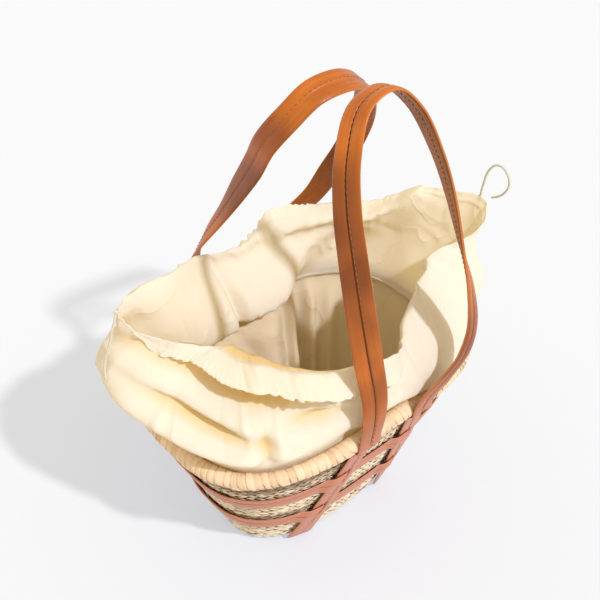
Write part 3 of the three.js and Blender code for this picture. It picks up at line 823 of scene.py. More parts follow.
@dataclass
class StrawBasket:
    """The plaited basket: a thin dark shell with leaf-like strips plaited over it."""

    form: BasketForm
    finish: StrawFinish
    gap_finish: StrawFinish
    row_pitch: float = 5.7
    leaf_pitch: float = 8.4
    fewest_leaves: int = 8
    leaf_length: float = 13.5
    leaf_width: float = 5.6
    leaf_rows: int = 6
    leaf_places: tuple[float, ...] = (-1.0, -0.45, 0.45, 1.0)
    slant: float = 24.0
    proud: float = 0.5
    tip_drop: float = 1.2
    edge_drop: float = 0.95
    innermost_row: float = 6.0
    foot_height: float = 14.0
    bare_top: float = 1.0
    shell_steps: int = 192
    shell_depth: float = 0.55
    seed: int = 7

    def rows(self) -> tuple[Array, Array, Array]:
        """Return each strip's share of the way round, its rise and its slant, row by row."""
        flat = self.form.flat_base
        lowest = self.innermost_row - flat
        highest = self.form.rim_height - self.form.rim_radius - self.bare_top
        levels = np.linspace(lowest, highest, round((highest - lowest) / self.row_pitch) + 1)
        around, rise, slant = [], [], []
        for row, level in enumerate(levels):
            girth = self.form.girth(max(level, 0.0)) * min(1.0 + level / flat, 1.0)
            count = max(int(round(girth / self.leaf_pitch)), self.fewest_leaves)
            around.append((np.arange(count) + 0.5 * (row % 2)) / count)
            rise.append(np.full(count, level))
            slant.append(np.full(count, self.slant if row % 2 else -self.slant))
        return np.concatenate(around), np.concatenate(rise), np.concatenate(slant)

    def girths(self, rise: Array) -> Array:
        """Return the way round the basket at each rise, under the base too."""
        heights = np.arange(0, 200, 10)
        girth = np.interp(np.maximum(rise, 0.0), heights, [self.form.girth(h) for h in heights])
        return girth * (1.0 + np.minimum(rise, 0.0) / self.form.flat_base)

    def in_shade(self, points: Array, rise: Array) -> Array:
        """Return how much shade each strip has under the collar and under the upper band.

        Args:
            points: (strips, rows, places, 3) the strips' points.
            rise: how high each strip is.

        Returns:
            A share from 0 to 1, largest at the left of the front.
        """
        x, y = points[:, 3, 1, 0], points[:, 3, 1, 1]
        left = 0.2 + 0.8 * smooth_share(-x, -40.0, 60.0) * smooth_share(-y, -30.0, 40.0)
        under = smooth_share(rise, 143.0, 165.0) + fade(rise - 82.0, 5.0)
        return left * np.clip(under, 0.0, 1.0)

    def leaves(self) -> MeshData:
        """Make every strip of the plait, in rows that slant one way and then the other."""
        rng = np.random.default_rng(self.seed)
        around, rise, slant = self.rows()
        count, rows, columns = len(around), self.leaf_rows, len(self.leaf_places)
        each = (slice(None), None, None)
        rise = rise + rng.normal(0.0, 0.5, count)
        angle = np.radians(slant + rng.normal(0.0, 6.0, count))[each]
        length = (self.leaf_length * rng.uniform(0.8, 1.12, count))[each]
        width = (self.leaf_width * rng.uniform(0.72, 1.08, count))[each]
        lift = rng.uniform(-0.3, 0.3, count)[each]
        u = np.linspace(-1.0, 1.0, rows)[None, :, None]
        v = np.array(self.leaf_places)[None, None, :]
        x = np.broadcast_to(u * length / 2.0, (count, rows, columns))
        y = v * (1.0 - 0.6 * np.abs(u) ** 2.2) * width / 2.0
        run, climb = x * np.cos(angle) - y * np.sin(angle), x * np.sin(angle) + y * np.cos(angle)
        crown = self.proud - self.tip_drop * np.abs(u) ** 2.4 - self.edge_drop * v**2
        crown = crown + lift * (1.0 - u**2)
        share = around[each] + run / self.girths(rise)[each]
        place = rise[each] + climb
        flat = (self.proud + 0.3) * (1.0 - smooth_share(place, 0.0, self.foot_height))
        points = self.form.skin(share, place, np.maximum(crown - flat, -self.edge_drop))
        tone = np.clip(rng.normal(0.62, 0.2, count), 0.1, 1.0)
        tone = tone * (1.0 - 0.85 * self.in_shade(points, rise))
        grain = np.stack([x, y], axis=-1) + rng.uniform(0.0, 900.0, (count, 1, 1, 2))
        starts = (np.arange(count) * rows * columns)[each]
        faces = (leaf_faces(rows, columns)[None] + starts).reshape(-1, columns)
        return mesh_data(points, faces, grain, np.repeat(tone, rows * columns))

    def shell(self) -> tuple[MeshData, list[list[int]]]:
        """Make the shell that the plait lies on, closed at the rim and under the base."""
        form, steps = self.form, self.shell_steps
        around = np.arange(steps) / steps
        base = np.linspace(-0.9 * form.flat_base, 0, 5)
        rises = np.concatenate([base, np.linspace(2, 12.5, 5), np.linspace(20, 184, 20)])
        sunk = np.full(steps, -self.shell_depth)
        outer = np.stack([form.skin(around, np.full(steps, rise), sunk) for rise in rises])
        outer[: len(base), :, 2] = self.shell_depth
        heights = np.linspace(form.rim_height - form.rim_radius - 0.4, form.foot_radius, 12)
        angle, within = form.angle_at(around), -form.straw_wall / 2.0
        inner = np.stack([form.wall(angle, height, within) for height in heights])
        floor = form.wall(angle, form.base_wall, within - 4.0)
        rings = np.concatenate([outer, inner, floor[None]])
        grain = stacked(around[None] * 800.0, np.arange(len(rings))[:, None] * 7.0)
        tone = np.full(rings.shape[:2], 0.3)
        data = mesh_data(rings, grid_faces(len(rings), steps, False, True), grain, tone)
        return data, end_caps(len(rings), steps)

    def build(self) -> None:
        """Make the shell and the plait, and put them in the basket's place."""
        shell = make_object("basket_shell", *self.shell())
        settle(shell, Slot.STRAW, self.gap_finish.build(), "basket_body")
        plait = make_object("basket_plait", self.leaves())
        settle(plait, Slot.STRAW, self.finish.build())


@dataclass
class WoundRim:
    """The roll along the rim, wound with one long straw strip."""

    form: BasketForm
    finish: StrawFinish
    windings: int = 138
    steps: int = 1408
    sides: int = 28
    crease: float = 0.75
    fattest: float = 0.75
    seed: int = 11

    def build(self) -> None:
        """Make the roll with a crease between each two windings."""
        form, rng = self.form, np.random.default_rng(self.seed)
        around = np.arange(self.steps) / self.steps
        a, t = np.meshgrid(around, np.arange(self.sides) / self.sides, indexing="ij")
        turn = 2.0 * math.pi * t
        uneven = 0.28 * wander(a, (9, 17, 31, 53), 3)
        lean = 0.22 * np.sin(turn + 5.0 * wander(a, (4, 7), 5)) + t
        place = a * self.windings + t + uneven + lean
        count = self.windings * 2
        number = np.floor(place).astype(int) % count
        across = place - np.floor(place)
        off_middle = 2.0 * across - 1.0
        sharp = rng.uniform(6.0, 14.0, count)[number]
        crease = np.abs(off_middle) ** sharp * rng.uniform(0.6, 1.0, count)[number]
        loose = rng.normal(0.0, 0.2, count)[number]
        fat = rng.uniform(-0.2, 0.3, count)[number]
        sag = 0.35 * wander(a, (3, 5, 11), 9)
        fold = 0.14 * np.sin(across * math.pi * 4.0 + number) - 0.15 * off_middle**2
        radius = form.rim_radius - self.crease * crease + (fat + loose) * (1 - crease) + sag + fold
        radius = np.minimum(radius, form.rim_radius + self.fattest)
        ring = form.wall(form.angle_at(a), form.rim_height, np.cos(turn) * radius)
        ring[..., 2] += np.sin(turn) * radius
        # Painted shade: the creases are darker, most on the lower half of the roll.
        lower = 0.3 + 0.7 * smooth_share(-np.sin(turn), -0.75, 0.1)
        tone = 0.76 + 0.6 * loose - 1.3 * lower * crease + 0.08 * np.sin(number * 7.0)
        grain = np.stack([t * 50.0 + number * 13.0, across * 7.0], axis=-1)
        faces = grid_faces(self.steps, self.sides, True, True)
        rim = make_object("rim_winding", mesh_data(ring, faces, grain, np.clip(tone, 0.0, 1.0)))
        settle(rim, Slot.STRAW, self.finish.build(), "rim_roll")


STITCHES_AT = 1.8
SEAM_ON_WALL = 0.3


@dataclass(frozen=True)
class LeatherStrip:
    """The section of a folded leather strip: rounded edges and a seam down one face."""

    width: float
    thickness: float
    seam_depth: float = 0.9
    slit: float = 4.0
    pillow: float = 0.12

    @property
    def places(self) -> Array:
        """Distances across the strip where its section has points."""
        half = self.width / 2.0
        near_seam, near_edge = [0.0, 0.35, 0.9, STITCHES_AT, self.slit], [1.4, 0.5, 0.1]
        side = np.array([*near_seam, 6.5, 9.0, *(half - inset for inset in near_edge)])
        return np.concatenate([-side[:0:-1], side])

    def offsets(self) -> tuple[Array, Array]:
        """Return how far the seam face and the plain face are from the strip's middle."""
        distance = np.abs(self.places)
        half = self.width / 2.0
        rounded = np.sqrt(np.clip((half - distance) / 1.6, 0.03, 1.0))
        seam = 1.0 - self.seam_depth * 2.0 * fade(distance, 0.55) / self.thickness
        pillow = 1.0 + self.pillow * np.sin(np.clip(distance / half, 0, 1) * math.pi)
        return self.thickness / 2.0 * rounded * seam * pillow, self.thickness / 2.0 * rounded

    def tones(self, seam_share: Array) -> tuple[Array, Array]:
        """Return the finish's tone on the seam face and on the plain face.

        Args:
            seam_share: how much of the seam shows at each row.

        Returns:
            The two faces' tones, the first for each row.
        """
        # Painted highlight: the last half millimetre of each edge has a tone near 1, which takes
        # the lighter edge colour.
        edge = smooth_share(np.abs(self.places), self.width / 2.0 - 0.6, self.width / 2.0 - 0.1)
        seam = 0.45 * self.seam_depth * fade(self.places, 0.6)
        # The plain face starts from a tone of 0.3, which mixes in the back colour as painted shade.
        return 0.5 + 0.45 * edge - seam_share * seam, 0.3 + 0.6 * edge


def strip_mesh(
    front: Array,
    back: Array,
    has: Array,
    round_rows: bool,
    strip: LeatherStrip,
    run: Array,
    seam: Array | float = 1.0,
) -> MeshData:
    """Close the two faces of a leather strip into one mesh, with its slits cut out.

    Args:
        front: (rows, columns, 3) points of the seam face.
        back: the same of the plain face.
        has: (row cells, column cells) whether each cell is there.
        round_rows: whether the strip meets itself.
        strip: its section.
        run: distance along the strip at each row.
        seam: how much of the seam shows at each row.

    Returns:
        The closed mesh.
    """
    rows, columns = front.shape[:2]
    top = grid_faces(rows, columns, round_rows, False)[has.ravel()]
    under = rows * columns
    edges = np.concatenate([top[:, [i, (i + 1) % 4]] for i in range(4)])
    known = {(int(a), int(b)) for a, b in edges}
    rim = np.array([(a, b) for a, b in known if (b, a) not in known])
    sides = np.stack([rim[:, 1], rim[:, 0], rim[:, 0] + under, rim[:, 1] + under], axis=1)
    faces = np.concatenate([top, top[:, ::-1] + under, sides])
    points = np.concatenate([front.reshape(-1, 3), back.reshape(-1, 3)])
    share = np.broadcast_to(seam, (rows,))[:, None]
    tones = [np.broadcast_to(tone, (rows, columns)).ravel() for tone in strip.tones(share)]
    grain = np.concatenate([stacked(run[:, None], strip.places[None]).reshape(-1, 2)] * 2)
    used = np.unique(faces)
    renumber = np.zeros(len(points), int)
    renumber[used] = np.arange(len(used))
    return mesh_data(points[used], renumber[faces], grain[used], np.concatenate(tones)[used])


@dataclass(frozen=True)
class StrapSizes:
    """Sizes that the straps and the bands share, so that one threads through the other."""

    form: BasketForm
    strap: LeatherStrip = LeatherStrip(26.0, 2.4, 1.1)
    band: LeatherStrip = LeatherStrip(25.0, 2.0, 0.85, pillow=0.6)
    band_heights: tuple[float, float] = (129.0, 64.0)
    band_clearance: float = 0.5
    slit_spare: float = 1.5
    spacing_top: float = 68.0
    spacing_foot: float = 116.0
    strap_foot: float = 6.0

    @property
    def slit_reach(self) -> float:
        """How far a strap's slits reach up and down from the middle of a band."""
        return self.band.width / 2.0 + self.slit_spare

    @property
    def band_low(self) -> float:
        """How far a band's inner face is from the middle of the wall, under a strap."""
        return self.form.straw_wall / 2.0 + self.band_clearance

    @property
    def strap_in(self) -> float:
        """How far a strap's inner face is from the middle of the wall."""
        return self.band_low + self.band.thickness + self.form.clearance

    @property
    def band_high(self) -> float:
        """How far a band's inner face is from the middle of the wall, over a strap."""
        return self.strap_in + self.strap.thickness + self.form.clearance

    def strap_x(self, height: Array) -> Array:
        """Return the x of the right-hand strap's middle at heights."""
        share = np.asarray(height, float) / self.form.rim_height
        return (self.spacing_foot + (self.spacing_top - self.spacing_foot) * share) / 2.0


@dataclass
class LeatherBand:
    """A leather band round the basket, over one half of each strap and under the other."""

    name: str
    middle: float
    sizes: StrapSizes
    material: bpy.types.Material
    upper_flare: float = 1.5
    lower_flare: float = 0.5

    def build(self) -> None:
        """Make the band with its stations close together at the straps."""
        form, strip = self.sizes.form, self.sizes.band
        heights = self.middle + strip.places
        near = np.linspace(-30.0, 20.0, 36)
        crossings = []
        for side_x, side_y in ((1, 1), (-1, 1), (-1, -1), (1, -1)):
            x = side_x * self.sizes.strap_x(heights)[None] - side_y * near[:, None]
            angle = form.angle_at_x(x, heights[None], side_y)
            crossings.append(np.where(angle < 0, angle + 2.0 * math.pi, angle))
        middle = len(strip.places) // 2
        spans = [(turn[0].min() - 0.01, turn[-1].max() + 0.01) for turn in crossings]
        plain = form.angle_at(np.linspace(0.0, 1.0, 200, endpoint=False))
        held = smooth_share(near, -30.0, -20.0) * (1.0 - smooth_share(near, 14.0, 20.0))
        over = smooth_share(near, -27.0, -14.0) * (1.0 - smooth_share(near, -4.0, 3.0))
        rows = [
            (angle, np.full(len(heights), angle), 0.0, 0.0)
            for angle in plain
            if not any(low < angle < high for low, high in spans)
        ]
        for turn in crossings:
            rows += [(turn[i, middle], turn[i], over[i], held[i]) for i in range(len(near))]
        rows.sort(key=lambda row: row[0])
        angle = np.array([row[1] for row in rows])
        lift = np.array([row[2] for row in rows])[:, None]
        free = 1.0 - np.array([row[3] for row in rows])[:, None]
        stand = self.sizes.band_low + (self.sizes.band_high - self.sizes.band_low) * lift
        upper, lower = smooth_share(strip.places, 0.0, 12.5), smooth_share(-strip.places, 6.0, 12.5)
        flare = free * (self.upper_flare * upper + self.lower_flare * lower)[None]
        seam_face, plain_face = strip.offsets()
        centre = stand + strip.thickness / 2.0
        front = form.wall(angle, heights[None], centre + seam_face[None] + flare)
        back = form.wall(angle, heights[None], centre - plain_face[None] + flare)
        has = np.ones((len(angle), len(heights) - 1), bool)
        data = strip_mesh(front, back, has, True, strip, run_along(front[:, middle]))
        settle(make_object(self.name + "_leather", data), Slot.LEATHER, self.material, self.name)


class HandlePoint(NamedTuple):
    """A point on a handle's free loop.

    across is in shares of the handle's reach, out in shares of the straps' distance from the
    middle, rise in shares of the handle's rise, and turn in degrees away from +X.
    """

    across: float
    out: float
    rise: float
    turn: float


FRONT_HANDLE = tuple(HandlePoint(*row) for row in (
    (-0.34, 1.0, 0.02, 0), (-0.32, 1.01, 0.1, -6), (-0.32, 1.0, 0.19, -14),
    (-0.36, 0.94, 0.35, -32), (-0.36, 0.86, 0.48, -46), (-0.32, 0.73, 0.64, -58),
    (-0.26, 0.61, 0.773, -68), (-0.14, 0.5, 0.887, -76), (0.11, 0.39, 0.987, -84),
    (0.45, 0.37, 1.0, -92), (0.66, 0.45, 0.93, -98), (0.78, 0.59, 0.8, -106),
    (0.84, 0.71, 0.667, -114), (0.87, 0.83, 0.517, -126), (0.92, 0.94, 0.36, -146),
    (0.9, 1.01, 0.23, -160), (0.76, 1.05, 0.163, -168), (0.54, 1.05, 0.105, -176),
    (0.37, 1.03, 0.06, -180), (0.34, 1.01, 0.02, -180),
))
BACK_HANDLE = tuple(HandlePoint(*row) for row in (
    (-0.34, 1.0, 0.02, 0), (-0.35, 1.03, 0.1, -8), (-0.36, 1.03, 0.19, -22),
    (-0.33, 0.92, 0.3, -36), (-0.21, 0.78, 0.42, -54), (-0.15, 0.61, 0.55, -76),
    (-0.15, 0.43, 0.67, -87), (-0.16, 0.28, 0.78, -90), (-0.06, 0.13, 0.88, -90),
    (0.14, 0.07, 0.94, -90), (0.45, 0.06, 0.943, -92), (0.8, 0.14, 0.88, -98),
    (1.1, 0.34, 0.76, -104), (1.3, 0.53, 0.62, -112), (1.35, 0.71, 0.47, -122),
    (1.32, 0.88, 0.34, -136), (1.22, 1.0, 0.23, -152), (0.92, 1.1, 0.14, -166),
    (0.58, 1.09, 0.105, -176), (0.38, 1.04, 0.065, -180), (0.34, 1.01, 0.02, -180),
))


@dataclass
class LeatherHandle:
    """A handle: up the wall, over in a free loop and down the wall again."""

    name: str
    side: float
    points: tuple[HandlePoint, ...]
    sizes: StrapSizes
    material: bpy.types.Material
    thread: bpy.types.Material
    seam_depth: float
    pillow: float
    rise: float = 300.0
    reach: float = 100.0
    steps_per_knot: int = 10
    stitch_pitch: float = 5.2
    stitch_length: float = 3.6
    unsewn_end: float = 30.0
    thread_radius: float = 0.34

    def wall_rows(self) -> tuple[Array, Array]:
        """Return heights up the wall and how far the strap's back face stands out at each."""
        sizes, form = self.sizes, self.sizes.form
        heights = list(np.arange(sizes.strap_foot, form.rim_height - 12.0, 3.6))
        for middle in sizes.band_heights:
            ends = (middle - sizes.slit_reach, middle + sizes.slit_reach)
            heights = [h for h in heights if min(abs(h - end) for end in ends) > 1.2]
            heights += ends
        heights = np.array(sorted(heights))
        stand = np.full(len(heights), sizes.strap_in)
        slope = (form.mouth_width - form.base_width) / 2.0 / form.rim_height
        turns = np.radians(np.arange(60.0, -0.1, -10.0))
        around = form.rim_radius + form.clearance + 0.5
        heights = np.concatenate([heights, form.rim_height - around * np.sin(turns)])
        stands = around * np.cos(turns) + around * np.sin(turns) * slope
        return heights, np.concatenate([stand, np.maximum(stands, sizes.strap_in)])

    def loop(self) -> tuple[Array, Array, Array]:
        """Return the free loop's middle, width direction and outward direction at each row."""
        form, strap = self.sizes.form, self.sizes.strap
        distance = form.mouth_width / 2.0 + form.rim_radius + form.clearance + strap.thickness / 2.0
        across, out, rise, turns = np.array(self.points, float).T
        high = form.rim_height + rise * self.rise
        knots = np.stack([across * self.reach, self.side * out * distance, high], axis=1)
        params = np.linspace(0.0, len(knots) - 1, (len(knots) - 1) * self.steps_per_knot + 1)
        middle = catmull_rom(knots, params)
        turn = np.radians(catmull_rom(turns[:, None], params)[:, 0])
        top = knots[np.argmax(knots[:, 2])]
        lean = unit(np.array([0.0, top[1] - knots[0][1], top[2] - knots[0][2]]))
        aside = np.array([0.0, -self.side * lean[2], self.side * lean[1]])
        tangent = unit(np.gradient(middle, axis=0))
        width = np.cos(turn)[:, None] * np.array([1.0, 0.0, 0.0]) + np.sin(turn)[:, None] * aside
        width = unit(width - np.einsum("ij,ij->i", width, tangent)[:, None] * tangent)
        return middle, width, -self.side * np.cross(width, tangent)

    def build(self) -> None:
        """Make the strap with its slits, and the stitches along its seam."""
        form, sizes = self.sizes.form, self.sizes
        strip = replace(sizes.strap, seam_depth=self.seam_depth)
        heights, stands = self.wall_rows()
        seam_face, plain_face = strip.offsets()
        places = strip.places
        front, back, wall_height = [], [], []

        def add_wall(leg: float, order: slice) -> None:
            """Add the rows of one leg, from the foot up or from the rim down."""
            x = leg * sizes.strap_x(heights)[:, None] - leg * places[None]
            angle = form.angle_at_x(x, heights[:, None], self.side)
            centre = stands[:, None] + strip.thickness / 2.0
            flat = replace(strip, seam_depth=SEAM_ON_WALL * strip.seam_depth).offsets()[0]
            front.append(form.wall(angle, heights[:, None], centre + flat[None])[order])
            back.append(form.wall(angle, heights[:, None], centre - plain_face[None])[order])
            wall_height.append(heights[order])

        add_wall(-1.0, slice(None))
        middle, width, outward = self.loop()
        centre = middle[:, None] + width[:, None] * places[None, :, None]
        swell = np.sin(np.linspace(0.0, math.pi, len(middle)))[:, None, None] ** 0.5
        fuller = replace(strip, pillow=self.pillow).offsets()[0] - seam_face
        raised = (seam_face[None, :, None] + fuller[None, :, None] * swell) * (1.0 + 0.25 * swell)
        front.append(centre + outward[:, None] * raised)
        back.append(centre - outward[:, None] * plain_face[None, :, None])
        wall_height.append(np.full(len(middle), np.nan))
        add_wall(1.0, slice(None, None, -1))
        front, back = np.concatenate(front), np.concatenate(back)
        level = np.concatenate(wall_height)
        between = (level[:-1] + level[1:]) / 2.0
        has = np.ones((len(level) - 1, len(places) - 1), bool)
        column = np.abs((places[:-1] + places[1:]) / 2.0) < strip.slit
        for band in sizes.band_heights:
            row = np.abs(between - band) < sizes.slit_reach
            has &= ~(row[:, None] & column[None])
        seam = (front + back)[:, len(places) // 2] / 2.0
        run = run_along(seam)
        shows = np.where(np.isnan(level), 1.0, SEAM_ON_WALL)
        data = strip_mesh(front, back, has, False, strip, run, shows)
        settle(make_object(self.name + "_strap", data), Slot.LEATHER, self.material, self.name)
        self.stitches(front, back, run, has)

    def stitches(self, front: Array, back: Array, run: Array, has: Array) -> None:
        """Sew a row of stitches beside the seam, on both faces.

        Args:
            front: the seam face's points.
            back: the plain face's points.
            run: distance along the strap at each row.
            has: which cells are there.
        """
        column = int(np.argmin(np.abs(self.sizes.strap.places - STITCHES_AT)))
        starts = np.arange(self.unsewn_end, run[-1] - self.unsewn_end, self.stitch_pitch)
        whole = has[:, column - 1] & has[:, column]
        arch = np.array([-0.25, 0.2, 0.28, 0.2, -0.25])[:, None]
        last = len(whole) - 1
        parts = []

        def along(face: Array, start: float) -> Array:
            """Return points along a stitch's place on a face."""
            places = start + np.linspace(0.0, self.stitch_length, len(arch))
            return np.stack([np.interp(places, run, face[:, column, i]) for i in range(3)], axis=1)

        for face, other in ((front, back), (back, front)):
            for start in starts:
                cell = np.searchsorted(run, start + self.stitch_length / 2.0) - 1
                cell = int(np.clip(cell, 0, last))
                if whole[cell] and whole[min(cell + 1, last)]:
                    line = along(face, start)
                    up = unit(line - along(other, start))
                    parts.append(thread_tube(line + up * arch, up, self.thread_radius))
        sewn = make_object(self.name + "_stitches", joined(parts))
        settle(sewn, Slot.LEATHER, self.thread)
        log.info("%s: %d stitches", self.name, len(parts))


def thread_tube(line: Array, up: Array, radius: float, sides: int = 6) -> MeshData:
    """Make a short rounded tube along a line.

    Args:
        line: (points, 3) its middle.
        up: (points, 3) a direction to set its section by.
        radius: its radius.
        sides: how many sides it has.

    Returns:
        A closed mesh.
    """
    turn = np.arange(sides) / sides * 2.0 * math.pi
    taper = np.full(len(line), radius)
    taper[[0, -1]] *= 0.35
    rings = tube_rings(line, up, taper[:, None], turn)
    quads = [[i, i + 1, sides - 2 - i, sides - 1 - i] for i in range(sides // 2 - 1)]
    last = (len(line) - 1) * sides
    caps = [quad[::-1] for quad in quads] + [[last + k for k in quad] for quad in quads]
    faces = np.concatenate([grid_faces(len(line), sides, False, True), caps])
    grain = stacked(np.linspace(0.0, 3.0, len(line))[:, None], turn[None])
    return mesh_data(rings, faces, grain, np.full(rings.shape[:2], 0.5))


class CollarStation(NamedTuple):
    """How the collar runs at one place round the mouth, in shares of the collar's rise."""

    around: float
    belly_out: float
    belly_up: float
    crest_out: float
    crest_up: float
    hem_out: float
    hem_up: float


COLLAR_STATIONS = tuple(CollarStation(*row) for row in (
    (0.003, 0.24, 0.45, 0.36, 0.82, 0.41, 1.0), (0.026, 0.12, 0.45, 0.17, 0.9, 0.3, 0.96),
    (0.05, 0.05, 0.35, 0.06, 0.75, 0.27, 0.76), (0.081, -0.02, 0.3, -0.12, 0.62, 0.14, 0.66),
    (0.124, -0.06, 0.25, -0.14, 0.6, 0.1, 0.66), (0.165, -0.22, 0.16, -0.08, 0.6, 0.12, 0.74),
    (0.192, -0.42, 0.12, -0.05, 0.61, 0.12, 0.78), (0.21, -0.5, 0.08, -0.03, 0.62, 0.06, 0.64),
    (0.26, -0.5, 0.06, -0.03, 0.66, 0.03, 0.55), (0.3, -0.52, 0.08, -0.05, 0.8, 0.02, 0.68),
    (0.349, -0.52, 0.14, -0.2, 0.95, -0.08, 0.84), (0.385, -0.34, 0.3, -0.1, 1.0, 0.04, 0.9),
    (0.415, 0.02, 0.42, 0.02, 1.04, 0.08, 0.96), (0.449, 0.38, 0.55, 0.14, 1.06, 0.12, 1.12),
    (0.477, 0.36, 0.52, -0.2, 0.96, -0.08, 0.84), (0.52, 0.14, 0.36, -0.52, 0.84, -0.26, 0.84),
    (0.567, 0.02, 0.26, -0.62, 0.8, -0.3, 0.8), (0.614, 0.0, 0.2, -0.56, 0.8, -0.23, 0.78),
    (0.651, -0.02, 0.2, -0.4, 0.8, -0.1, 0.74), (0.686, -0.04, 0.2, -0.24, 0.78, 0.0, 0.66),
    (0.72, -0.02, 0.2, -0.2, 0.74, -0.03, 0.56), (0.755, 0.0, 0.2, -0.14, 0.66, 0.01, 0.45),
    (0.787, 0.03, 0.16, -0.22, 0.58, -0.2, 0.46), (0.826, 0.1, 0.16, -0.43, 0.6, -0.46, 0.48),
    (0.865, 0.08, 0.16, -0.49, 0.7, -0.52, 0.58), (0.922, 0.14, 0.25, -0.42, 0.8, -0.45, 0.7),
    (0.944, 0.27, 0.38, -0.2, 0.86, -0.2, 0.78), (0.96, 0.31, 0.45, 0.15, 0.84, 0.2, 0.82),
    (0.974, 0.28, 0.46, 0.4, 0.78, 0.46, 0.88), (0.987, 0.26, 0.46, 0.48, 0.8, 0.58, 0.98),
))


class Fold(NamedTuple):
    """A soft fold: where it is round the mouth and along the cloth, its reach and its depth.

    lean is how far it moves along the cloth for each whole turn round the mouth.
    """

    around: float
    along: float
    reach_around: float
    reach_along: float
    depth: float
    lean: float = 0.0


COLLAR_FOLDS = tuple(Fold(*row) for row in (
    (0.664, 0.54, 0.04, 0.035, -0.15, -0.5), (0.59, 0.68, 0.11, 0.07, -0.42),
    (0.57, 0.57, 0.08, 0.04, 0.1), (0.545, 0.48, 0.055, 0.04, -0.22, -0.4),
    (0.55, 0.38, 0.06, 0.05, 0.08), (0.612, 0.4, 0.008, 0.12, -0.12),
    (0.7, 0.2, 0.012, 0.16, -0.035), (0.278, 0.5, 0.009, 0.22, 0.16),
    (0.22, 0.68, 0.1, 0.08, 0.12), (0.93, 0.45, 0.014, 0.2, -0.05), (0.1, 0.4, 0.02, 0.2, 0.03),
))


def column_around(stations: tuple[CollarStation, ...], name: str, around: Array) -> Array:
    """Read a column of the stations as a smooth closed line round the mouth.

    Args:
        stations: the table.
        name: the column.
        around: shares of the mouth to read it at.

    Returns:
        The column's value at each share.
    """
    at = np.array([s.around for s in stations])
    value = np.array([getattr(s, name) for s in stations])
    at = np.concatenate([[at[-2] - 1, at[-1] - 1], at, [at[0] + 1, at[1] + 1]])
    value = np.concatenate([value[-2:], value, value[:2]])
    steps = np.diff(value) / np.diff(at)
    before, after = steps[:-1], steps[1:]
    same = before * after > 0
    slope = np.where(same, 2 * before * after / np.where(same, before + after, 1.0), 0.0)
    at, value = at[1:-1], value[1:-1]
    wanted = np.asarray(around, float)
    i = np.clip(np.searchsorted(at, wanted, side="right") - 1, 0, len(at) - 2)
    width = at[i + 1] - at[i]
    t = (wanted - at[i]) / width
    return hermite(t, value[i], width * slope[i], value[i + 1], width * slope[i + 1])


@dataclass(frozen=True)
class CreaseField:
    """Small sharp creases strewn over a cloth, the same on each run."""

    count: int
    seed: int
    depth: float = 1.9
    shortest: float = 9.0
    longest: float = 34.0
    narrowest: float = 2.4
    widest: float = 6.0

    def height(self, x: Array, y: Array, girth: float, low: float, high: float) -> Array:
        """Return how far the creases push the cloth out.

        Args:
            x: distance round the cloth, which meets itself at its girth.
            y: distance along it.
            girth: how far it is round.
            low: the smallest y that a crease has its middle at.
            high: the largest.

        Returns:
            The push at each place.
        """
        rng = np.random.default_rng(self.seed)
        total = np.zeros(np.broadcast(x, y).shape)
        for _ in range(self.count):
            middle_x, middle_y = rng.uniform(0.0, girth), rng.uniform(low, high)
            turn, bend = rng.normal(0.3, 0.6), rng.normal(0.0, 0.006)
            length = rng.uniform(self.shortest, self.longest)
            width = rng.uniform(self.narrowest, self.widest)
            depth = self.depth * rng.uniform(-1.0, 1.0)
            round_by = (x - middle_x + girth / 2.0) % girth - girth / 2.0
            along = round_by * math.sin(turn) + (y - middle_y) * math.cos(turn)
            across = round_by * math.cos(turn) - (y - middle_y) * math.sin(turn) + bend * along**2
            total += depth * np.exp(-((np.abs(across) / width) ** 1.3)) * fade(along, length)
        return total


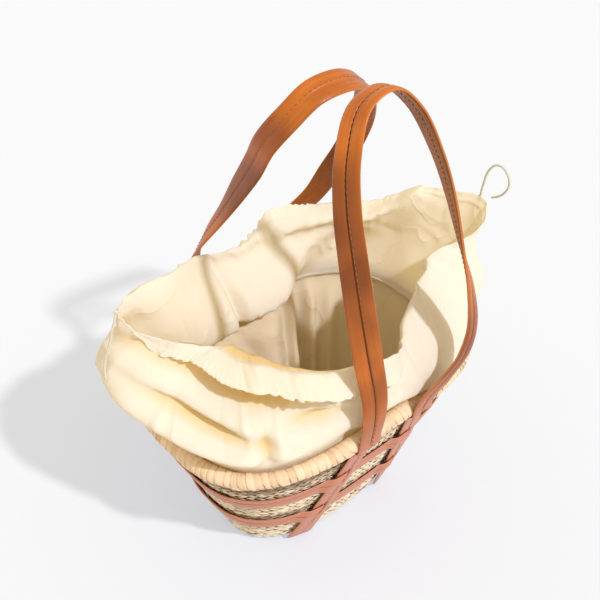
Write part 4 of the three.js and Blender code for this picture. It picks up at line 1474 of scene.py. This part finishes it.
@dataclass
class CottonCollar:
    """The drawstring top: one band of cotton round the mouth, with a gathered hem."""

    form: BasketForm
    material: bpy.types.Material
    stations: tuple[CollarStation, ...] = COLLAR_STATIONS
    folds: tuple[Fold, ...] = COLLAR_FOLDS
    rise: float = 100.0
    thickness: float = 1.0
    seam_drop: float = 8.0
    spine_share: float = 0.55
    wrap_step: float = 5.0
    wrap_rows: int = 3
    steps: int = 760
    puckers: int = 71
    pucker_depth: float = 1.9
    pucker_lift: float = 1.6
    gather_depth: float = 2.4
    string_groove: float = 1.1
    # how far in a fold must push the cloth for full painted shade
    fold_shade_depth: float = 16.0
    creases: CreaseField = CreaseField(170, 41, 3.0)
    length: float = 130.0

    @property
    def clear(self) -> float:
        """How near the cloth's middle comes to the middle of the rim roll."""
        return self.form.rim_radius + self.form.clearance + 1.4

    def knots(self, around: Array, sunk: Array) -> Array:
        """Return the section's knots at each place: seam, over the roll, belly, crest, hem.

        Args:
            around: shares of the mouth.
            sunk: how far the roll's middle is below its height at the handles.

        Returns:
            (knots, places, 2) distances out from the roll's middle and up from it.
        """
        def at(knot: str) -> Array:
            """Read a knot's two columns as a point at each place."""
            x = column_around(self.stations, knot + "_out", around) * self.rise
            y = column_around(self.stations, knot + "_up", around) * self.rise + sunk
            return np.stack([x, y], axis=-1)

        clear = self.clear
        seam_out = self.form.rim_radius + 2 * self.form.clearance + 1.6
        seam = np.broadcast_to(np.array([-seam_out, -self.seam_drop]), (len(around), 2))
        belly = at("belly")
        seam_turn = math.pi + math.atan2(self.seam_drop, seam_out)
        length = np.linalg.norm(belly, axis=1)
        touching = np.arctan2(belly[:, 1], belly[:, 0])
        touching = touching + np.arccos(clear / np.maximum(length, clear))
        arc_end = np.minimum(seam_turn, touching)
        arc_length = (seam_turn - arc_end) * clear
        left = np.stack([np.cos(arc_end), np.sin(arc_end)], axis=-1) * clear
        start = np.where(arc_length[:, None] > 0, left, seam)
        straight = unit(belly - start)
        knots = [seam]
        for i in range(1, self.wrap_rows + 1):
            gone = i * self.wrap_step
            turn = seam_turn - gone / clear
            on_arc = np.array([[math.cos(turn), math.sin(turn)]]) * clear
            on_line = start + straight * (gone - arc_length)[:, None]
            knots.append(np.where((gone < arc_length)[:, None], on_arc, on_line))
        return np.stack([*knots, belly, at("crest"), at("hem")])

    def middle(self) -> tuple[Array, Array, Array, Array]:
        """Return the cloth's middle, each point's place round and along it, and its tone, which
        paints shade into the deep folds.
        """
        around = np.arange(self.steps) / self.steps
        ring = self.form.wall(self.form.angle_at(around), self.form.rim_height, 0.0)
        spoke = unit(ring * np.array([1.0 - self.spine_share, 1.0, 0.0]))
        params = np.concatenate([
            np.linspace(0.0, 3.0, 9), np.linspace(3.0, 4.0, 13)[1:],
            np.linspace(4.0, 5.0, 19)[1:], np.linspace(5.0, 6.0, 15)[1:],
        ])
        along = np.interp(params, [0.0, 3.0, 4.0, 5.0, 6.0], [0.0, 0.15, 0.4, 0.82, 1.0])
        place = catmull_rom(self.knots(around, self.form.rim_height - ring[:, 2]), params)
        a, s = np.meshgrid(around, along)
        out, up = place[..., 0], place[..., 1]
        plain = out
        for fold in self.folds:
            near = fade(apart(a, fold.around), fold.reach_around)
            way = s - fold.along - fold.lean * (a - fold.around)
            out = out + fold.depth * self.rise * near * fade(way, fold.reach_along)
        # Painted shade: the further the folds push the cloth in, the higher its tone.
        sunk = np.clip((plain - out) / self.fold_shade_depth, 0.0, 1.0) * (s > 0.3)
        girth = self.form.girth(self.form.rim_height)
        push = self.creases.height(a * girth, s * self.length, girth, 30.0, self.length)
        push = push * smooth_share(s, 0.2, 0.4)
        out, up = out + 0.75 * push, up + 0.66 * push
        out, up = self.gathered(a, s, out, up)
        away = np.maximum(np.hypot(out, up), 1e-6)
        push = np.where((away < self.clear) & (s > 0), self.clear / away, 1.0)
        points = ring[None] + spoke[None] * (out * push)[..., None]
        points[..., 2] += up * push
        return points, a, s, 0.5 + 0.5 * sunk

    def gathered(self, a: Array, s: Array, out: Array, up: Array) -> tuple[Array, Array]:
        """Pull the hem in on its drawstring, and let small folds run down from it.

        Args:
            a: place round the mouth.
            s: place along the cloth.
            out: distance out.
            up: height.

        Returns:
            out and up, with the gathers.
        """
        drift = wander(a, (2, 3, 5, 9, 14), 31)
        turn = 2 * math.pi * a
        wave = np.sin(self.puckers * turn + 9.0 * drift)
        wave = wave * np.sin(37 * turn + 7.0 * wander(a, (3, 7, 11), 35))
        wide = np.sin(23 * turn + 6.0 * drift) * np.sin(9 * turn + 4.0 * drift)
        strength = 0.6 + 0.4 * wander(a, (4, 7, 12), 33)
        out = out + self.pucker_depth * strength * smooth_share(s, 0.88, 0.985) * wave
        out = out + self.gather_depth * strength * smooth_share(s, 0.45, 0.85) * wide
        out = out - self.string_groove * fade(s - 0.92, 0.018)
        up = up + self.pucker_lift * strength * smooth_share(s, 0.88, 1.0) * np.abs(wave)
        return out, up

    def build(self) -> None:
        """Make the collar and give it its material."""
        points, a, s, tone = self.middle()
        half = around_normals(points) * self.thickness / 2.0
        rings = np.concatenate([points + half, (points - half)[::-1]])
        girth = self.form.girth(self.form.rim_height)
        grain = np.stack([a * girth * 1.15, s * self.length], axis=-1)
        grain = np.concatenate([grain, grain[::-1]])
        faces = grid_faces(len(rings), self.steps, True, True)
        data = mesh_data(rings, faces, grain, np.concatenate([tone, tone[::-1]]))
        cloth = make_object("collar_cotton", data)
        settle(cloth, Slot.COTTON, self.material, "drawstring_collar")


class WallFold(NamedTuple):
    """A fold down the lining, with its reach round the mouth, its heights and its depth."""

    around: float
    reach_around: float
    low: float
    high: float
    depth: float


LINING_FOLDS = tuple(WallFold(*row) for row in (
    (0.12, 0.012, 0.3, 0.88, 9.0), (0.15, 0.009, 0.3, 0.9, 14.0), (0.182, 0.008, 0.3, 0.9, 16.0),
    (0.23, 0.035, 0.5, 0.92, 30.0), (0.325, 0.045, 0.4, 0.92, 38.0), (0.4, 0.03, 0.5, 0.92, 14.0),
    (0.96, 0.015, 0.3, 0.9, 6.0),
))


@dataclass
class CottonLining:
    """The cotton lining, loose against the inside of the basket."""

    form: BasketForm
    material: bpy.types.Material
    folds: tuple[WallFold, ...] = LINING_FOLDS
    creases: CreaseField = CreaseField(90, 43, 2.6)
    thickness: float = 0.8
    seam_drop: float = 3.5
    rows: int = 73
    steps: int = 420

    @property
    def wall_top(self) -> float:
        """How high the wall goes before the rim roll."""
        return self.form.rim_height - self.form.rim_radius - self.form.clearance

    def section(self) -> Array:
        """Return the lining's section up the wall as distances out and heights."""
        form = self.form
        against = -form.straw_wall / 2.0 - form.clearance
        inside = -(form.rim_radius + form.clearance)
        floor, corner = form.base_wall + form.clearance, form.foot_radius
        top = form.rim_height - self.seam_drop - 2 * form.clearance
        wall = self.wall_top
        knots = np.array([
            (against - corner, floor),
            (against - corner / 3, floor + corner / 2),
            (against, 2 * corner),
            *((against, share * wall) for share in (0.3, 0.5, 0.7, 0.85)),
            (against - 0.6, wall - 6),
            ((against + inside) / 2, wall),
            (inside, top),
        ])
        return catmull_rom(knots, np.linspace(0, len(knots) - 1, self.rows))

    def build(self) -> None:
        """Make the lining as a closed cup of thin cloth."""
        form, wall = self.form, self.wall_top
        section = self.section()
        a, h = np.meshgrid(np.arange(self.steps) / self.steps, section[:, 1])
        out = np.broadcast_to(section[:, :1], a.shape).copy()
        for fold in self.folds:
            low = smooth_share(h / form.rim_height, fold.low - 0.2, fold.low + 0.1)
            high = 1.0 - smooth_share(h / form.rim_height, fold.high - 0.1, fold.high + 0.1)
            out -= fold.depth * low * high * fade(apart(a, fold.around), fold.reach_around)
        girth = form.girth(form.rim_height / 2.0)
        push = self.creases.height(a * girth, h, girth, 0.2 * wall, 0.9 * wall)
        near = smooth_share(h, 0.1 * wall, 0.25 * wall) * smooth_share(wall - h, 4.0, 30.0)
        out -= np.abs(push) * near
        loose = smooth_share(h, 12.0, 50.0) * (1.0 - smooth_share(h, 165.0, 184.0))
        sag = wander(a + 0.0004 * h, (7, 11, 16), 41) + 0.7 * wander(a - 0.0006 * h, (19, 27), 43)
        out -= loose * np.maximum(1.2 + 1.6 * sag, 0.0)
        outer = form.wall(form.angle_at(a), h, out)
        normal = around_normals(outer)
        inwards = -1.0 if normal[self.rows // 2, 0, 0] > 0 else 1.0
        inner = outer + normal * self.thickness * inwards
        rings = np.concatenate([outer, inner[::-1]])
        grain = np.stack([a * 800.0, h], axis=-1)
        grain = np.concatenate([grain, grain[::-1]])
        faces = grid_faces(len(rings), self.steps, False, True)
        data = mesh_data(rings, faces, grain, np.full(rings.shape[:2], 0.5))
        cup = make_object("lining_cotton", data, end_caps(len(rings), self.steps))
        settle(cup, Slot.COTTON, self.material, "lining")


LEFT_CORD = (
    (-169.9, 58.4, 304.5), (-172.5, 57.0, 300.0), (-177.0, 56.0, 291.0), (-181.5, 54.0, 283.0),
    (-186.5, 53.0, 274.0), (-191.2, 52.0, 265.0), (-194.6, 49.0, 257.0), (-197.0, 44.5, 251.5),
)
RIGHT_CORD = (
    (220.3, -18.6, 289.0), (220.8, -18.8, 296.0), (221.5, -19.8, 305.0), (222.0, -21.0, 314.0),
    (223.0, -23.5, 322.0), (225.0, -28.5, 328.5), (227.0, -34.5, 329.0), (229.0, -40.5, 323.5),
    (230.0, -44.5, 314.5), (229.5, -43.5, 305.0), (228.5, -39.0, 297.0), (227.3, -33.5, 292.0),
    (226.0, -28.5, 289.5),
)


@dataclass
class DrawstringEnd:
    """One end of the drawstring, a short twisted cord."""

    name: str
    node: str
    route: tuple[tuple[float, float, float], ...]
    far_end: str
    material: bpy.types.Material
    diameter: float = 2.4
    sides: int = 16
    twist: float = 5.0

    def build(self) -> None:
        """Make the cord as two plies twisted together along its route."""
        knots = np.array(self.route)
        line = catmull_rom(knots, np.linspace(0, len(knots) - 1, (len(knots) - 1) * 14 + 1))
        run = run_along(line)
        turn = np.arange(self.sides) / self.sides * 2 * math.pi
        ply = np.abs(np.cos(turn[None] - run[:, None] * 2 * math.pi / self.twist))
        radius = self.diameter / 2.0 * (0.78 + 0.25 * ply)
        rings = tube_rings(line, np.array([0.3, 1.0, 0.1]), radius, turn)
        grain = stacked(run[:, None], turn[None] * self.diameter / 2)
        faces = grid_faces(len(line), self.sides, False, True)
        data = mesh_data(rings, faces, grain, 0.3 + 0.6 * ply)
        cord = make_object(self.name, data, end_caps(len(line), self.sides))
        settle(cord, Slot.CORD, self.material, self.node)


@dataclass
class Studio:
    """The camera where the photograph was taken from, the lights and the floor."""

    eye: tuple[float, float, float] = (-494.5, -559.6, 909.6)
    ahead: tuple[float, float, float] = (0.480, 0.543, -0.689)
    right: tuple[float, float, float] = (0.751, -0.660, 0.003)
    focal_pixels: float = 1042.4
    centre_pixels: tuple[float, float] = (306.2, 347.4)
    frame_pixels: float = 600.0
    sensor_mm: float = 36.0
    key_from: tuple[float, float, float] = (0.09, -0.66, 0.745)
    key_strength: float = 2.25
    key_colour: Colour = (0.92, 1.0, 1.22)
    key_degrees: float = 3.0
    fill_strength: float = 0.86
    fill_colour: Colour = (1.0, 0.925, 0.74)

    def camera(self) -> None:
        """Make the camera and set it as the scene's."""
        data = bpy.data.cameras.new("camera")
        data.sensor_width = self.sensor_mm
        data.lens = self.focal_pixels * self.sensor_mm / self.frame_pixels
        data.shift_x = (self.frame_pixels / 2.0 - self.centre_pixels[0]) / self.frame_pixels
        data.shift_y = (self.centre_pixels[1] - self.frame_pixels / 2.0) / self.frame_pixels
        data.clip_start, data.clip_end = 0.05, 50.0
        camera = bpy.data.objects.new("camera", data)
        ahead = Vector(self.ahead).normalized()
        right = Vector(self.right)
        right = (right - ahead * right.dot(ahead)).normalized()
        up = right.cross(ahead)
        turn = Matrix((right, up, -ahead)).transposed().to_4x4()
        camera.matrix_world = Matrix.Translation(Vector(self.eye) * MM) @ turn
        bpy.context.scene.collection.objects.link(camera)
        bpy.context.scene.camera = camera

    def lights(self) -> None:
        """Make the main light, which throws the shadow behind the bag, and the white surround."""
        sun = bpy.data.lights.new("key", "SUN")
        sun.energy = self.key_strength
        sun.angle = math.radians(self.key_degrees)
        sun.color = self.key_colour
        key = bpy.data.objects.new("key", sun)
        key.rotation_mode = "QUATERNION"
        key.rotation_quaternion = Vector(self.key_from).to_track_quat("Z", "Y")
        bpy.context.scene.collection.objects.link(key)
        world = bpy.data.worlds.new("white_surround")
        world.use_nodes = True
        background = world.node_tree.nodes["Background"]
        background.inputs["Color"].default_value = (*self.fill_colour, 1.0)
        background.inputs["Strength"].default_value = self.fill_strength
        bpy.context.scene.world = world
        bpy.context.scene.view_settings.view_transform = "Standard"

    def floor(self) -> None:
        """Make a wide pale floor that curves up far behind the bag."""
        rows, columns = 60, 40
        y = np.linspace(-4000.0, 9000.0, rows)
        z = np.where(y > 6000.0, (y - 6000.0) ** 2 / 4000.0, 0.0)
        x = np.linspace(-6000.0, 6000.0, columns)
        points = stacked(x[None], y[:, None], z[:, None] - 0.05)
        faces = grid_faces(rows, columns, False, False)
        flat = np.zeros((rows, columns))
        floor = make_object("floor", mesh_data(points, faces, points[..., :2], flat))
        floor.data.materials.append(FloorFinish().build())


def main() -> None:
    """Build the bag piece by piece."""
    logging.basicConfig(level=logging.INFO, format="%(name)s %(message)s")
    form = BasketForm()
    straw = StrawFinish(
        "plaited_straw", srgb(241, 221, 192), srgb(214, 186, 150), srgb(104, 78, 48)
    )
    gaps = StrawFinish("straw_in_shade", srgb(96, 72, 40), srgb(62, 42, 20), srgb(36, 22, 10))
    wound = StrawFinish("wound_straw", srgb(236, 206, 168), srgb(212, 172, 130), srgb(70, 40, 18))
    leather = LeatherFinish(
        "tan_leather",
        grain_side=srgb(206, 112, 34),
        worn=srgb(170, 86, 24),
        # pale: the painted sheen where the leather lies on the basket
        pale=srgb(194, 122, 90),
        # back: the seam line and the painted shade on the plain face
        back=srgb(112, 62, 26),
        # edge: the painted highlight on the rounded edges
        edge=srgb(200, 120, 58),
    ).build()
    thread = ThreadFinish("sewing_thread", srgb(214, 150, 92), srgb(150, 92, 48), 1.0).build()
    cotton = CottonFinish(
        "unbleached_cotton",
        colour=srgb(252, 248, 238),
        shade=srgb(250, 245, 231),
        through=srgb(255, 234, 164),
        # the deep folds get painted shade
        painted_fold_shade=srgb(250, 225, 168),
    ).build()
    string = ThreadFinish("cotton_cord", srgb(240, 232, 214), srgb(196, 184, 158), 2.4).build()

    studio = Studio()
    studio.camera()
    DrawstringEnd("drawstring_left_cord", "drawstring_left", LEFT_CORD, "bare", string).build()
    DrawstringEnd("drawstring_right_cord", "drawstring_right", RIGHT_CORD, "object", string).build()
    studio.lights()
    studio.floor()

    StrawBasket(form, straw, gaps).build()
    WoundRim(form, wound).build()
    sizes = StrapSizes(form)
    LeatherBand("band_upper", sizes.band_heights[0], sizes, leather).build()
    LeatherBand("band_lower", sizes.band_heights[1], sizes, leather).build()
    LeatherHandle("handle_front", -1.0, FRONT_HANDLE, sizes, leather, thread, 1.1, 0.5).build()
    LeatherHandle("handle_back", 1.0, BACK_HANDLE, sizes, leather, thread, 0.25, 0.1).build()
    inner = CottonFinish(
        "lining_cotton",
        colour=srgb(251, 240, 210),
        shade=srgb(248, 233, 196),
        through=srgb(255, 220, 126),
        # painted shade for deep folds, which the lining's even tone of 0.5 leaves out
        painted_fold_shade=srgb(246, 206, 128),
    ).build()
    CottonLining(form, inner).build()
    CottonCollar(form, cotton).build()


if __name__ == "__main__":
    main()
